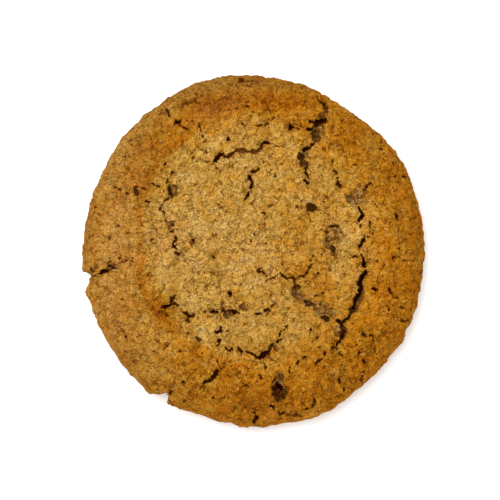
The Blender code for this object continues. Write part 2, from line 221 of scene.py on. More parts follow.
# cracks, in mm: width, depth, darkness (how much shade is painted into the bed), then the places along the
# crust
cracks = [
    # arc across the top
    (0.85, 1.9, 0.95, (-10.6, 23.2), (-9.6, 23.8), (-8.8, 24.6), (-7.9, 25)),
    (0.46, 1.6, 0.95, (2.1, 27), (2.4, 28.1), (3.3, 28.1), (4.5, 27.6)),
    (0.74, 1.1, 0.42, (-7.5, 24.3), (-6.5, 24.3), (-5.2, 25.4), (-4.4, 25.9), (-2.6, 26.1), (-1.3, 25.6),
     (0.8, 25.6), (1.8, 26.4), (2.1, 27.2)), (0.26, 0.3, 0, (4.7, 27.5), (7, 27.1), (8.8, 26.6)),
    (0.23, 0.4, 0.2, (-14.8, 23.5), (-13.5, 23.8), (-12.5, 23.3), (-11.4, 23)),
    (0.23, 0.5, 0.2, (-9.9, 22.8), (-9.9, 21.7), (-8.3, 20.4)),
    # split from the rim, upper right
    (0.4, 1.4, 0.6, (16.9, 39.4), (17.9, 38.7)), (0.8, 2.6, 1, (18.1, 38.7), (18.6, 37.6)),
    (1.9, 1.6, 0.45, (18.5, 37.3), (18.9, 36.1)), (2.6, 1.3, 0.3, (18.2, 35.2), (17.2, 34.6)),
    (0.9, 3, 0.92, (15.6, 33.2), (17.4, 33.4), (19, 34.4)), (1.1, 2, 0.65, (14.4, 33.7), (15.6, 33.3)),
    (2.5, 1.7, 0.5, (16, 32), (16.3, 31)), (2.3, 1.9, 0.55, (15.9, 31), (16.2, 29.6), (16.9, 28.6)),
    (0.9, 2.2, 0.95, (13.8, 31.5), (15.2, 31.6)), (0.36, 1.2, 0.8, (16.1, 28.7), (15.6, 27.7), (14.6, 27)),
    (0.95, 2, 0.92, (14.4, 26.9), (13.6, 26.5), (12.9, 25.9)),
    (2.4, 1.9, 0.74, (12.4, 23.4), (13.1, 22.5), (13.9, 21.9)), (1.9, 1.9, 0.8, (12, 24.6), (12.4, 23.6)),
    (0.62, 1.5, 0.85, (13.7, 21.4), (13.5, 20.2), (14.2, 19.1)),
    (0.57, 1.2, 0.9, (13.3, 18.1), (14, 17.4), (14.3, 18.3)),
    # long arc on the right
    (0.47, 1.2, 0.8, (21.8, 18.9), (22, 17.6), (22.5, 16.2)), (0.36, 0.8, 0.7, (21.2, 20.7), (21.6, 19.9)),
    (0.39, 1, 0.65, (30.7, 17.7), (29.6, 17.3), (29.1, 16.2), (28.6, 15.6)),
    (0.64, 2.4, 0.98, (27.4, 11), (27.8, 10.3), (28.3, 9.2), (27.8, 8.6), (27.4, 7.9), (27.5, 7.2)),
    (0.42, 1.2, 0.85, (26.8, 12.4), (27.3, 11.5), (27.8, 11)), (0.39, 1.2, 0.8, (27.8, 7), (27.7, 5.9)),
    (0.66, 2.2, 0.98, (28.9, 3.9), (28.7, 2.7), (28.3, 1.9)), (0.47, 1.4, 0.95, (28.5, 1.9), (27.6, 0.6)),
    (0.34, 0.9, 0.7, (28.9, 3.5), (29.6, 3.6), (30.3, 4)),
    (0.7, 2.2, 0.95, (28.5, -2.5), (28.7, -3.3), (28.9, -4.3)),
    (0.44, 1.2, 0.8, (28.1, -1.1), (28.5, -2), (28.7, -2.6)),
    (1.02, 2.8, 0.95, (29.2, -5.1), (28.4, -6.5), (27.8, -8), (27.9, -9.6), (27.7, -11), (26.7, -12.2),
     (26.4, -13.7), (25.9, -15.1)), (1.45, 2.2, 0.66, (26.2, -14.7), (25.2, -16.2)),
    (0.55, 1.8, 0.85, (25.2, -16.2), (24.2, -17.5), (23.1, -18.6)),
    (1.25, 1.4, 0.35, (28.2, -9.9), (27.9, -12), (27, -13.9), (26.1, -15.6)),
    # its foot and fork
    (0.68, 2, 0.75, (21.6, -17.8), (22.5, -18.6), (23.1, -19.9)),
    (1.6, 2.4, 0.62, (22.9, -19.6), (23.4, -20.9), (22.9, -22), (22.4, -23)),
    (0.62, 2.8, 0.95, (23.5, -20.4), (23.1, -21.8), (22.6, -22.8)),
    (0.44, 1.8, 0.9, (22.6, -23), (21.9, -23.8), (21.2, -24.7)), (0.6, 1.3, 0.9, (21.2, -25), (20.4, -25.2)),
    (0.34, 0.8, 0.6, (21.3, -24.8), (22.1, -25.9), (22.9, -26.7), (23.7, -27.2)),
    (0.57, 1.2, 0.85, (18.5, -25.9), (18.6, -27)),
    (0.47, 0.9, 0.7, (17.7, -27.9), (16.6, -28.9), (16, -29.5)),
    # diagonal, lower right
    (0.52, 1.2, 0.65, (6.8, -5.7), (7.8, -6.5), (8.8, -7.2), (9.9, -6.8), (10.9, -7.4)),
    (0.6, 1.2, 0.45, (10.7, -7.2), (10.8, -8.6)), (2.1, 1.4, 0.5, (10.6, -9.5), (10.9, -11.1)),
    (1.9, 1.2, 0.08, (11.2, -11), (13, -12.6), (14.6, -13.9)),
    (0.36, 0.9, 0.7, (11.2, -7.2), (12.2, -6.6), (13.5, -6.1), (14.4, -5.3), (14.3, -4.5), (15.1, -4),
     (15.5, -3.2)), (0.23, 0.5, 0.6, (14.7, -2.5), (15.3, -1.4), (16.4, -0.3)),
    (0.26, 0.6, 0.65, (6.8, -5.9), (5.7, -6.6), (4.4, -7.2), (3.2, -7.7)),
    # hook beside it
    (0.36, 1, 0.75, (1.2, -5.6), (2.2, -5.3), (3.1, -5.9), (3.5, -6.5)),
    (0.42, 0.9, 0.5, (1, -5.5), (1.4, -4.6), (2.3, -4.2)), (0.31, 0.6, 0.7, (7.3, -3.2), (8.1, -4.3)),
    # broken arc on the left
    (0.88, 1.8, 0.8, (-22, 16.8), (-21.7, 15.5), (-21.2, 14.2)),
    (0.28, 1, 0.5, (-21.4, 13.8), (-22.8, 13.1), (-23.9, 11.6), (-24.2, 10.8), (-23.4, 10), (-22.9, 9)),
    (0.36, 0.6, 0.35, (-23, 8.5), (-22.3, 6.7), (-21.4, 5.3)), (0.55, 1.2, 0.95, (-21.2, 6.6), (-20.5, 6.2)),
    (0.8, 1.3, 0.62, (-20.2, 4.1), (-20.2, 3), (-20.9, 2.1), (-20.5, 1.1), (-20, 0.4)),
    (0.52, 1.1, 0.9, (-20.2, -0.3), (-19.2, -0.9)),
    (0.21, 0.4, 0.5, (-19.8, -1.7), (-19.2, -2.5), (-18.7, -3.5)),
    (0.26, 0.6, 0.6, (-20.9, 20.2), (-21.8, 19.1), (-22.6, 18.3), (-22.1, 17.6)),
    # lower left
    (0.99, 2, 0.95, (-23.5, -14.7), (-22.5, -14.4), (-21.4, -14.2)),
    (0.68, 1.4, 0.48, (-20.5, -11.3), (-21.1, -12.3), (-21.3, -13.3), (-20.3, -13.8), (-19.5, -14.6)),
    (0.68, 0.5, 0.05, (-24.4, -15.5), (-23.1, -16), (-22.1, -17)),
    # dashes of the low arc
    (0.68, 1.3, 0.7, (-18.2, -15.7), (-17.2, -16.2), (-16.6, -17.2), (-15.5, -16.8)),
    (0.47, 0.9, 0.6, (-16.6, -17.2), (-17.2, -17.7), (-16.6, -18.7)),
    (0.7, 1.1, 0.6, (-15, -22.2), (-14.4, -22.9), (-13.5, -23)),
    (0.7, 1.3, 0.95, (-11.1, -15.9), (-10.1, -15.6), (-9.2, -15.8)),
    (0.86, 1.6, 0.98, (-5.9, -15.6), (-4.9, -15.9), (-3.8, -16)),
    (0.52, 1.2, 0.85, (-8.1, -15.5), (-6.9, -15.4), (-5.9, -15.6)),
    (0.36, 1, 0.85, (0.1, -16.2), (1.3, -16.2), (2.5, -16.5)),
    (0.42, 1.1, 0.85, (2.7, -15.5), (3.9, -15.1), (4.7, -15.3)),
    (0.34, 0.8, 0.8, (4.4, -14.7), (5.2, -14), (6.1, -13.8)),
    # small arrow
    (0.78, 1.4, 0.98, (-10.1, -21), (-9, -20.8), (-8.1, -20.9)),
    (0.62, 1.3, 0.98, (-8.5, -19.9), (-8.7, -20.7)), (0.36, 0.8, 0.8, (-7.3, -20.7), (-6.2, -20.8)),
    (0.42, 1, 0.85, (-8.8, -23.4), (-9.2, -24.6)),
    # lower edge of the middle
    (0.47, 1.1, 0.9, (-7.3, -25), (-6.4, -25.7), (-5.7, -25.4), (-5.1, -25.6)),
    (0.78, 1.3, 0.9, (-3.9, -25), (-3.3, -25.8), (-3, -26.5)),
    (0.58, 1.1, 0.9, (-1.9, -26.1), (-0.8, -26.6), (0.5, -27.1), (1.6, -27.4)),
    (1.45, 2.3, 0.95, (1.8, -27.7), (2.9, -26.8), (3.9, -25.8)),
    (0.95, 1.4, 0.55, (3.9, -25.7), (4.7, -24.6), (5.2, -23.8)), (0.72, 1.2, 0.75, (6, -23.6), (7, -22.9)),
    (0.34, 0.8, 0.8, (6.6, -22), (7.4, -20.9), (8.3, -20.5)), (0.26, 0.6, 0.8, (1.7, -28.3), (1.8, -29)),
    (0.29, 0.6, 0.8, (2.6, -29), (3.2, -30.3)),
    # hook near the bottom
    (0.72, 1.5, 0.9, (-12.9, -34.2), (-11.7, -33.7), (-10.9, -33.3)),
    (0.26, 0.5, 0.3, (-13.9, -35.9), (-12.9, -34.4)),
    (1.3, 1.9, 0.9, (-10.7, -33.1), (-9.8, -32.1), (-9.5, -30.8)),
    (0.29, 0.7, 0.6, (-9.1, -30.2), (-8.1, -30.5), (-7.4, -29.5), (-7.7, -28.6)),
    (0.21, 0.4, 0.6, (-9.2, -29.5), (-9.4, -27.9)),
    # ticks near the bottom
    (0.31, 0.7, 0.8, (-3.1, -33.8), (-2.5, -34.7), (-1, -35.4)),
    (0.21, 0.4, 0.7, (-3.9, -31.3), (-2.9, -32.6), (-2.7, -33.7)),
    (0.26, 0.6, 0.8, (1.3, -31.5), (2.2, -32.9)), (0.34, 1.2, 0.9, (5.7, -32.8), (5.3, -33.6), (5.2, -34.3)),
    (0.47, 1.2, 1, (6.4, -34.1), (7, -35), (7.8, -36.1)),
    # bottom rim
    (0.62, 1.4, 0.85, (0.1, -42), (0.9, -43.2), (0.1, -44.1), (0.3, -45.1)),
    (0.62, 1.3, 0.75, (6.5, -41.7), (7.3, -42.5), (8.1, -42.2)),
    (0.47, 0.7, 0.5, (8.6, -42.9), (10.4, -42.5), (12.2, -42.8), (13.3, -43.3)),
    (0.68, 1.2, 0.85, (4.4, -40.3), (5.5, -40.8)), (0.47, 1.1, 0.9, (9.5, -30), (9.5, -31.5)),
    (0.31, 0.7, 0.8, (11.1, -29.4), (11.7, -28.9), (12.3, -28.2)),
    # crack from the left notch
    (1.2, 1, 0.3, (-38.3, -4.6), (-37, -3.9), (-36.3, -3.5)), (0.95, 1, 0.5, (-42.7, -4.7), (-41.7, -5.4)),
    (1.1, 0.7, 0.32, (-41.4, -4.6), (-40.4, -3.6)), (0.5, 1.4, 0.7, (-40.7, -6.2), (-39.7, -5.8)),
    (1.1, 2, 0.95, (-39.6, -5.6), (-38.6, -5.2), (-38, -4.9)), (1.05, 1.9, 0.85, (-38, -3.9), (-37.3, -4.1)),
    (0.7, 1.6, 0.8, (-37, -4.2), (-36, -4.3)), (0.85, 0.8, 0.1, (-42.3, -6.9), (-41.2, -6.6)),
    (0.95, 1.2, 0.55, (-38.1, -3.2), (-37.2, -3), (-36.5, -3.2)),
    (0.23, 0.4, 0.4, (-36.1, -3), (-34.6, -3), (-32.8, -2.5), (-31.2, -2.7)),
    # star and its tail, upper left
    (1.3, 1.9, 1, (-20.6, 33.4), (-19.2, 33.5)), (0.46, 1.3, 0.95, (-19.2, 34.5), (-19.3, 33.4)),
    (0.42, 1.3, 0.95, (-20.6, 34.5), (-19.9, 33.6)),
    (0.36, 0.8, 0.85, (-19.2, 33), (-18.5, 32.2), (-17.4, 31.7), (-16.4, 31.4)),
    (0.34, 0.5, 0.3, (-17.7, 34.1), (-16.6, 33.4), (-15.7, 32.4)),
    (0.29, 0.7, 0.55, (-14.6, 32.9), (-14, 32.2), (-13.8, 31.5), (-13.5, 30.8)),
    (0.26, 0.6, 0.5, (-16.3, 34), (-15.6, 33.4), (-15.3, 32.8)),
    (0.26, 0.6, 0.7, (-13.3, 29.8), (-12.7, 29.2), (-12.1, 28.7)),
    (0.36, 0.9, 0.75, (-23.4, 37.4), (-22.6, 36.6), (-22, 35.7), (-22, 35)),
    # crack in the middle
    (0.73, 1.8, 0.9, (-1.2, 19.4), (-0.5, 18.3), (-0.3, 17.2), (-0.7, 16.2)),
    (0.47, 1.2, 0.85, (-0.9, 16.2), (-1.3, 15), (-1.8, 13.7), (-2.7, 13.1)),
    (1, 1.2, 0.9, (-0.4, 20.4), (0.5, 20.5)), (0.66, 1, 0.85, (0.8, 20.8), (1.6, 21.4)),
    # dashes and wedge near the top
    (0.44, 0.7, 0.85, (0.5, 32), (1.4, 32.5), (2.3, 32.6)), (0.39, 0.6, 0.8, (2.9, 32.8), (4, 33.3)),
    (0.39, 0.6, 0.85, (4.6, 33.4), (5.2, 34.2), (5.8, 34.8)),
    (0.78, 1.9, 1, (10.3, 32.2), (9.6, 32.3), (9.3, 31.3)),
    (0.18, 0.3, 0.4, (10.4, 32.1), (11.2, 31.9), (12.1, 31.6)), (0.52, 0.9, 0.9, (-3.1, 32.6), (-2.3, 33.1)),
    # lower right
    (1.35, 1.5, 0.7, (28.6, -21.5), (29.3, -22.3)),
    (0.42, 1, 0.6, (30.2, -21.9), (31, -21.8), (31.3, -22.6), (31.5, -23.8)),
    (0.24, 0.6, 0.35, (31.5, -24.8), (31.8, -26.4), (32, -27.7), (32.6, -28.3)),
    (0.47, 0.9, 0.8, (27.8, -26.1), (27.4, -27.3)), (0.52, 0.9, 0.85, (22.4, -33.1), (22.6, -34.3)),
    (0.52, 0.9, 0.8, (23.3, -35.5), (23.7, -36.8)),
    (0.42, 0.8, 0.8, (16.1, -38.6), (16.1, -39.5), (15.1, -40.7)),
    (0.47, 0.7, 0.5, (28.9, -31.1), (28.6, -32.6), (28.2, -34.2)),
    # right rim
    (0.7, 1.2, 0.98, (37, 9.7), (37.6, 8.7)), (0.36, 0.8, 0.8, (35.9, 7.7), (35.6, 6.9)),
    (0.52, 1, 0.9, (35.9, -2.1), (36.9, -1.4)), (0.31, 0.7, 0.7, (37.7, 2.9), (38.2, 2), (38, 0.4)),
    (0.44, 0.9, 0.8, (35.4, -9.6), (35.9, -11), (36.4, -12), (37.7, -12.1)),
    (0.62, 1, 0.98, (30.7, -9.7), (31.5, -10), (32.1, -10.4)), (0.34, 0.6, 0.7, (31.6, 12.3), (32.2, 11.4)),
    (0.29, 0.6, 0.7, (30.4, 8.2), (30.6, 6.9), (30.4, 5.6)), (0.29, 0.6, 0.7, (30.8, 5.1), (30.8, 4.3)),
    (0.34, 0.7, 0.8, (25.5, -1.8), (26.3, -1.3), (27, -1.7)),
    (0.29, 0.5, 0.6, (33.3, -3), (34.1, -3.5), (33.7, -4.3)),
    (0.36, 0.8, 0.7, (38.2, -18.2), (39.3, -18.3), (40.3, -18.1)),
    # left rim
    (0.34, 0.6, 0.6, (-36.7, 17), (-35.4, 16.2), (-34.2, 15.7)),
    (0.31, 0.6, 0.6, (-26.5, 17.8), (-25.5, 17), (-24.2, 16.6)), (0.39, 0.6, 0.5, (-29.2, 16.5), (-27.9, 16)),
    (0.47, 0.8, 0.8, (-27.9, 12.9), (-26.8, 12.6)),
    (0.2, 0.5, 0.35, (-29.5, -9.8), (-28.9, -8.7), (-28.1, -7.9)),
    (0.18, 0.4, 0.6, (-26.9, 2.6), (-26.2, 3), (-25.4, 3)), (0.57, 1.1, 0.9, (-16.4, 2.7), (-15, 3.1)),
    # folds of the top rim
    (0.62, 0.5, 0.15, (-18.4, 38.2), (-17.2, 38.5), (-15.6, 39), (-14.3, 39.4)),
    (0.62, 0.4, 0.1, (-15.1, 41), (-14.8, 39.9)),
    (0.26, 0.5, 0.2, (-2.6, 44.2), (-1.4, 44.5), (-0.2, 44.2), (1.3, 43.9)),
    # small ticks
    (0.31, 0.6, 0.9, (-10.5, 4.5), (-9.9, 3.6)), (0.36, 0.7, 0.9, (-10.8, -0.9), (-10, -1.8)),
    (0.34, 0.6, 0.85, (-9.1, 11.2), (-7.5, 11.7)), (0.26, 0.7, 0.9, (4, 11.6), (4.5, 11.9), (5, 11.8)),
    (0.29, 0.7, 0.9, (2, 10.1), (2.7, 9.9), (3.2, 9.4)), (0.29, 0.5, 0.8, (-0.1, 5.2), (0.5, 4.4)),
    (0.31, 0.6, 0.85, (2.5, 2), (3.6, 1.4)), (0.36, 0.9, 0.85, (14.3, 10), (14.3, 8.8)),
    (0.26, 0.5, 0.7, (-15.5, 24.3), (-15.6, 23.5), (-16, 22.8)),
    (0.26, 0.5, 0.7, (-23.4, -25.4), (-22.1, -24.2)), (0.36, 0.6, 0.75, (-19.6, -26.4), (-18.7, -25.9)),
    (0.26, 0.5, 0.3, (35.1, -14.2), (35.6, -15.2), (36, -16)), (0.26, 0.5, 0.3, (38.3, -14.2), (38.9, -15.1)),
    (0.24, 0.4, 0.2, (-35.1, -19.4), (-34.3, -20.8), (-33.4, -22.2)),
]

# small pits: x, y, length, width, turn, depth, darkness (how much shade is painted into the bed)
pits = [
    (-6.4, 28.9, 1, 0.7, 60, 1.1, 1), (-1.6, 37.4, 0.7, 0.6, 0, 0.7, 0.9),
    (-6.1, -11.2, 1.6, 0.9, -60, 1.3, 1), (-22.8, 22.2, 0.8, 0.6, -60, 0.9, 0.9),
    (-20.9, 20.5, 0.7, 0.6, -60, 0.9, 0.9), (-16.9, -21.3, 0.9, 0.6, 60, 1, 0.95),
    (-0.7, 2.6, 0.8, 0.4, -40, 0.8, 0.9), (2.9, 6.9, 0.9, 0.5, 25, 0.5, 0.3),
    (-10.5, -38.2, 0.7, 0.7, 0, 1, 1), (-8.8, -23.1, 0.9, 0.8, 0, 1.2, 0.98),
    (-21.1, 5.1, 0.7, 0.9, 20, 1, 0.85), (35.6, -15.4, 0.6, 1, -25, 0.6, 0.7),
    (38.9, -14.7, 0.5, 0.9, -30, 0.6, 0.7), (8.6, -19.9, 0.7, 0.4, -30, 0.5, 0.85),
    (21.7, 30, 0.7, 0.4, 30, 0.5, 0.6), (23.2, 26.9, 0.9, 0.4, -40, 0.5, 0.6),
    (26.3, 22.4, 0.9, 0.4, -30, 0.5, 0.6), (20.7, 22.9, 0.5, 0.8, 10, 0.6, 0.7),
    (21.8, 20.2, 0.7, 1.2, 30, 0.6, 0.7), (-18.2, -34.3, 1.2, 1.1, -30, 0.9, 0.7),
    (-17.8, -39, 1, 0.8, 60, 0.8, 0.7), (-21.7, -36.9, 1.1, 1.3, 0, 1.6, 0.8),
    (-30.6, 16.5, 1, 0.7, 20, 0.7, 0.7), (-33, 15.1, 0.9, 0.6, 0, 0.8, 0.8),
    (-35.5, 6.8, 0.9, 0.5, -30, 0.5, 0.35), (-37.7, 3.5, 0.5, 0.4, 0, 0.4, 0.35),
    (-32.8, 4.7, 0.5, 0.4, 0, 0.5, 0.4), (-41.3, 11.4, 0.9, 0.6, 10, 0.5, 0.6),
    (-3.1, 44.6, 1.7, 1, 15, 1.1, 0.55), (13.9, -41.1, 1, 0.8, 20, 1, 0.75),
    (35.8, -17.2, 0.5, 0.5, 0, 0.5, 0.7), (28.9, -28.6, 0.7, 0.7, 0, 0.9, 0.9),
    (13.3, -27.3, 0.8, 0.7, -30, 0.9, 0.9), (37.2, 19.5, 0.8, 0.6, 0, 0.8, 0.8),
    (39.3, 19.4, 1, 0.6, -20, 0.7, 0.7), (36.5, 22.9, 0.7, 0.6, 60, 0.7, 0.8),
    (33.4, 26.5, 0.8, 0.6, 0, 0.6, 0.7), (34.1, 25.2, 0.8, 0.5, 30, 0.6, 0.7),
    (31.3, 30.7, 0.6, 0.5, 0, 0.5, 0.7), (23.1, 33.9, 0.5, 0.4, 0, 0.4, 0.8),
    (24.8, 33.9, 0.5, 0.4, 0, 0.4, 0.8), (1.4, -5.2, 1, 1, 0, 1.1, 0.85),
    (-11.8, 16.9, 1, 0.6, -20, 0.6, 0.75), (-14.8, 17.4, 0.9, 0.5, 30, 0.6, 0.75),
    (-20.7, 1.4, 0.6, 0.6, 0, 0.6, 0.8), (-27.3, -6.4, 0.7, 0.5, 10, 0.5, 0.6),
    (-31.3, -1.8, 0.6, 0.4, 40, 0.5, 0.7), (-34.8, -1.8, 0.8, 0.5, 40, 0.6, 0.7),
    (8.5, -16.8, 0.6, 0.4, -30, 0.5, 0.9), (8.5, -19.8, 0.8, 0.4, -40, 0.6, 0.9),
    (10.4, -18.1, 0.5, 0.4, 0, 0.4, 0.8), (14.7, -20.4, 0.8, 0.5, 20, 0.6, 0.85),
    (16.8, -22.4, 1, 0.6, 20, 0.6, 0.6), (17.2, -25, 0.6, 0.4, 0, 0.5, 0.7),
    (26.7, -24.4, 0.6, 0.5, 0, 0.6, 0.8), (16.8, -5.7, 0.5, 0.5, 0, 0.5, 0.8),
    (20, -5.1, 0.7, 0.4, -60, 0.5, 0.8), (18.1, 12.7, 0.6, 0.5, 0, 0.5, 0.8),
    (18.1, -10.9, 0.5, 0.4, 0, 0.5, 0.8), (16.1, -11.4, 0.9, 0.4, 10, 0.4, 0.6),
    (11.4, 11.4, 0.7, 0.5, 0, 0.5, 0.7), (32.4, -2.7, 0.6, 0.6, 0, 0.5, 0.7),
    (5.6, 19.6, 0.7, 0.6, 50, 0.5, 0.85), (4.4, 19.5, 0.4, 0.4, 0, 0.4, 0.8),
    (-32, 29.1, 0.8, 0.6, 10, 0.5, 0.6), (-33.5, 24.6, 0.5, 0.4, 0, 0.4, 0.6),
    (-34.1, -12.5, 0.8, 0.6, 0, 0.5, 0.6), (-40.6, -12, 0.7, 0.4, 35, 0.5, 0.7),
    (-33.3, -22.2, 0.6, 0.7, 0, 0.5, 0.6), (-35.4, -21.1, 0.6, 0.5, -20, 0.5, 0.6),
    (-31.5, -28.7, 0.7, 0.5, 0, 0.5, 0.6), (-5.6, 0, 0.6, 0.4, 10, 0.5, 0.8),
    (-12.7, -15.6, 0.6, 0.6, 0, 0.5, 0.7), (-6.8, -32.1, 0.7, 0.5, 0, 0.4, 0.6),
    (19.4, -37.4, 0.7, 0.4, 60, 0.6, 0.7), (9.8, 31.9, 1.3, 1.1, 60, 1.7, 1),
]

# torn patches where the moist crumb shows, in the same order
patches = [
    (21, 4.7, 4.3, 3.9, 10, 0.7, 0.05), (19, 3.2, 4.2, 0.6, 88, 1, 0.55),
    (19.4, 1.9, 2.8, 1.7, -70, 0.9, 0.35), (20.7, 0.2, 2.2, 1.3, -75, 1.3, 0.7),
    (21.1, 6.4, 2.5, 0.65, 8, 1.3, 0.85), (26.7, 14, 3.8, 3.1, 20, 0.8, 0.25),
    (24.9, 13.4, 1.1, 1.5, 0, 1, 0.6), (6.7, -33.1, 2.8, 2.6, -30, 1.3, 0.42),
    (6.9, -36.2, 4.6, 3.3, -85, 2.2, 0.72), (6.8, -35.3, 2.8, 1.2, -55, 3, 1),
    (6, -36.5, 2.8, 1.7, -80, 2.6, 0.9), (7, -38.1, 2.3, 2, 0, 2, 0.84),
    (-6.9, -16.4, 2.3, 1.8, 0, 1.1, 0.55), (-2.6, -14.7, 2.4, 1.3, -25, 0.6, 0.5),
    (17.5, -14.9, 4.3, 3.3, -35, 1, 0.08), (20.5, -15.9, 2.8, 1.9, -35, 0.6, 0),
    (18.8, -17.4, 2, 1.3, -20, 1.9, 0.78), (14.3, -13.7, 2.2, 1.6, -5, 2, 0.74),
    (11.5, -9.4, 1.6, 1.2, -35, 1.5, 0.5), (5.5, -24.8, 2.1, 1.6, -40, 1.2, 0.15),
    (21.8, -20.7, 2.8, 1.4, 80, 0.6, 0), (-20.7, 15.5, 2, 2.5, 0, 0.9, 0.55),
    (-21.1, 7.2, 1.2, 2.1, -10, 0.9, 0.55), (-30.4, 15.2, 1.8, 1.3, -50, 1, 0.75),
    (-16.1, 2, 1, 1.3, 30, 0.6, 0.4), (16.6, 33, 2.1, 1.5, 10, 2.8, 0.9), (17.7, 31.3, 2.1, 2.3, 0, 1, 0.15),
    (13.5, 25.4, 1.3, 1.3, 0, 0.7, 0.1),
]

# pieces of crumb that stand in the openings: x, y, length, width, turn, share of the depth that they fill
ledges = [
    (8.2, -35.5, 3.2, 0.9, -56, 0.75), (17.9, 30.3, 1.9, 1.5, 60, 0.85), (10.7, -12.8, 1.2, 0.9, -20, 0.95),
    (-39.3, -3.9, 1.5, 1.4, 40, 0.95), (-40.7, -5.9, 1.7, 0.7, -55, 0.9), (-37, -3.2, 0.9, 0.8, 0, 0.85),
    (24.3, -19.1, 1.9, 1.1, 15, 0.95), (14.6, 25.6, 1.6, 1.2, 40, 0.8), (21.6, -17.3, 1.1, 0.9, 0, 0.9),
]

# the dark chip in its bed
chip = {"place": (15.1, 11.3), "size": (3.0, 2.3), "turn": -10, "bedSize": (3.5, 2.7), "bed": 1.3,
        "leastBed": 0.25, "rise": 0.7, "edge": (1.15, 0.95)}

opening = {
    "edgeJag": [(2.3, 0.24), (0.95, 0.18)],  # waves of a crack's edge: size and push
    "fineCrumbs": (0.50, 0.72),  # narrow cracks part between crumbs this big, this strictly
    "coarseCrumbs": (1.15, 0.62),  # wide ones between these
    "uneven": (1.6, 0.80),  # how a crack swells and narrows along its way
    "endTaper": (0.45, 0.6),  # a crack's width at its ends over its full width, and how far in
    "wallPower": (2.6, 6.0),  # how square its bed is: narrow cracks, wide ones
    "wideFrom": (0.8, 1.8),
    "coarseFrom": 1.5,
    "thin": (0.3, 1.2),  # thin cracks are opened wider than their routes say, wide ones not
    "widen": (1.35, 1.05),
    "steady": (1.0, 0.4),  # and wide ones swell and narrow less
    "pitWiden": 1.15,
    "lipDrop": (0.9, 0.32),  # how far beside a crack the crust sags, and how much
    "fullSag": 2.0,  # depth of the cracks whose lips sag in full
    "floorLumps": (0.8, 0.42),  # uneven bed of wide cracks: size and share of the depth
    "floorPatches": 1.6,  # and how unevenly the painted shade lies in it
    "darkFrom": (0.05, 0.50),  # share of the depth from which shade is painted into the bed, and from which the wall is brown
    "wallFrom": (0.02, 0.30),
    "bareFrom": (0.7, 1.5),  # width from which the pale moist crumb shows
    "bareDark": 0.7,  # and how much less of it in openings with more painted shade
    "ledgeEdge": (1.15, 0.7),
    "ledgeCrumb": 0.6,  # how much of the wall's brown and the bare crumb a ledge hides
    "ledgeBare": 0.5,
    "cutReach": 2.0,  # how far beside an opening its cut and its sag are worked out
    "meshReach": 1.0,  # and whether the mesh is divided once more
    "margin": 0.36,  # finer mesh this far beside each opening, and above this height
    "marginAbove": 2.0,
}


def stretches(x, y, route):  # for each stretch of a route: the share along it, the distance and which side
    for (ax, ay), (bx, by) in zip(route, route[1:]):
        runX, runY = bx - ax, by - ay
        share = np.clip(((x - ax) * runX + (y - ay) * runY) / math.dist((ax, ay), (bx, by)) ** 2, 0.0, 1.0)
        apart = np.hypot(x - ax - share * runX, y - ay - share * runY)
        yield share, apart, runX * (y - ay) - runY * (x - ax) < 0


def crackRatio(x, y, width, route):  # 0 on the crack's line, 1 at its edge
    best = np.full_like(x, 99.0)
    size, amount = opening["uneven"]
    amount *= np.interp(width, opening["thin"], opening["steady"])
    swell = 1 + amount * noiseAt(flat(x, y, 51.0), size)
    taperStart, taperRun = opening["endTaper"]
    lengths = [math.dist(a, b) for a, b in zip(route, route[1:])]
    total = sum(lengths)
    done = 0.0
    for length, (share, apart, *side) in zip(lengths, stretches(x, y, route)):
        along = (done + share * length) / total
        fromEnd = np.minimum(along, 1 - along) * total
        taper = taperStart + (1 - taperStart) * np.clip(fromEnd / min(width, taperRun), 0.0, 1.0)
        best = np.minimum(best, apart / (width / 2 * taper))
        done += length
    return best / (swell * np.interp(width, opening["thin"], opening["widen"]))


def pitRatio(x, y, centreX, centreY, length, width, turn):
    cos, sin = math.cos(math.radians(turn)), math.sin(math.radians(turn))
    along = ((x - centreX) * cos + (y - centreY) * sin) / (length / 2)
    across = ((y - centreY) * cos - (x - centreX) * sin) / (width / 2)
    return np.hypot(along, across)


def jagged(x, y, crumbs):  # the place that a place borrows its cut from, so that edges come out crumbly
    shiftX, shiftY = np.zeros_like(x), np.zeros_like(y)
    for size, push in opening["edgeJag"]:
        shiftX += push * noiseAt(flat(x, y, 11.0), size)
        shiftY += push * noiseAt(flat(x, y, 37.0), size)
    size, strictness = crumbs
    bentX, bentY = x + shiftX, y + shiftY
    crumbX, crumbY = cellsAt(flat(bentX, bentY, 0.0), size, 6.0)[3:5]
    return bentX + strictness * (crumbX - bentX), bentY + strictness * (crumbY - bentY)


def nearRoute(x, y, route, margin):
    (leftX, lowY), (rightX, highY) = np.min(route, axis=0) - margin, np.max(route, axis=0) + margin
    return np.flatnonzero((x > leftX) & (x < rightX) & (y > lowY) & (y < highY))


def eachOpening(fine, coarse, reach):  # each crack, pit and patch, the places near it and its ratio there
    for width, deep, darkness, *route in cracks:
        x, y = coarse if width > opening["coarseFrom"] else fine
        near = nearRoute(x, y, route, width + reach)
        if len(near):
            yield near, crackRatio(x[near], y[near], width, route), width, deep, darkness
    for centreX, centreY, length, width, turn, deep, darkness in pits + patches:
        x, y = coarse if width > opening["coarseFrom"] else fine
        near = nearRoute(x, y, [(centreX, centreY)], length + reach)
        if len(near):
            ratio = pitRatio(x[near], y[near], centreX, centreY, length, width, turn) / opening["pitWiden"]
            yield near, ratio, width, deep, darkness


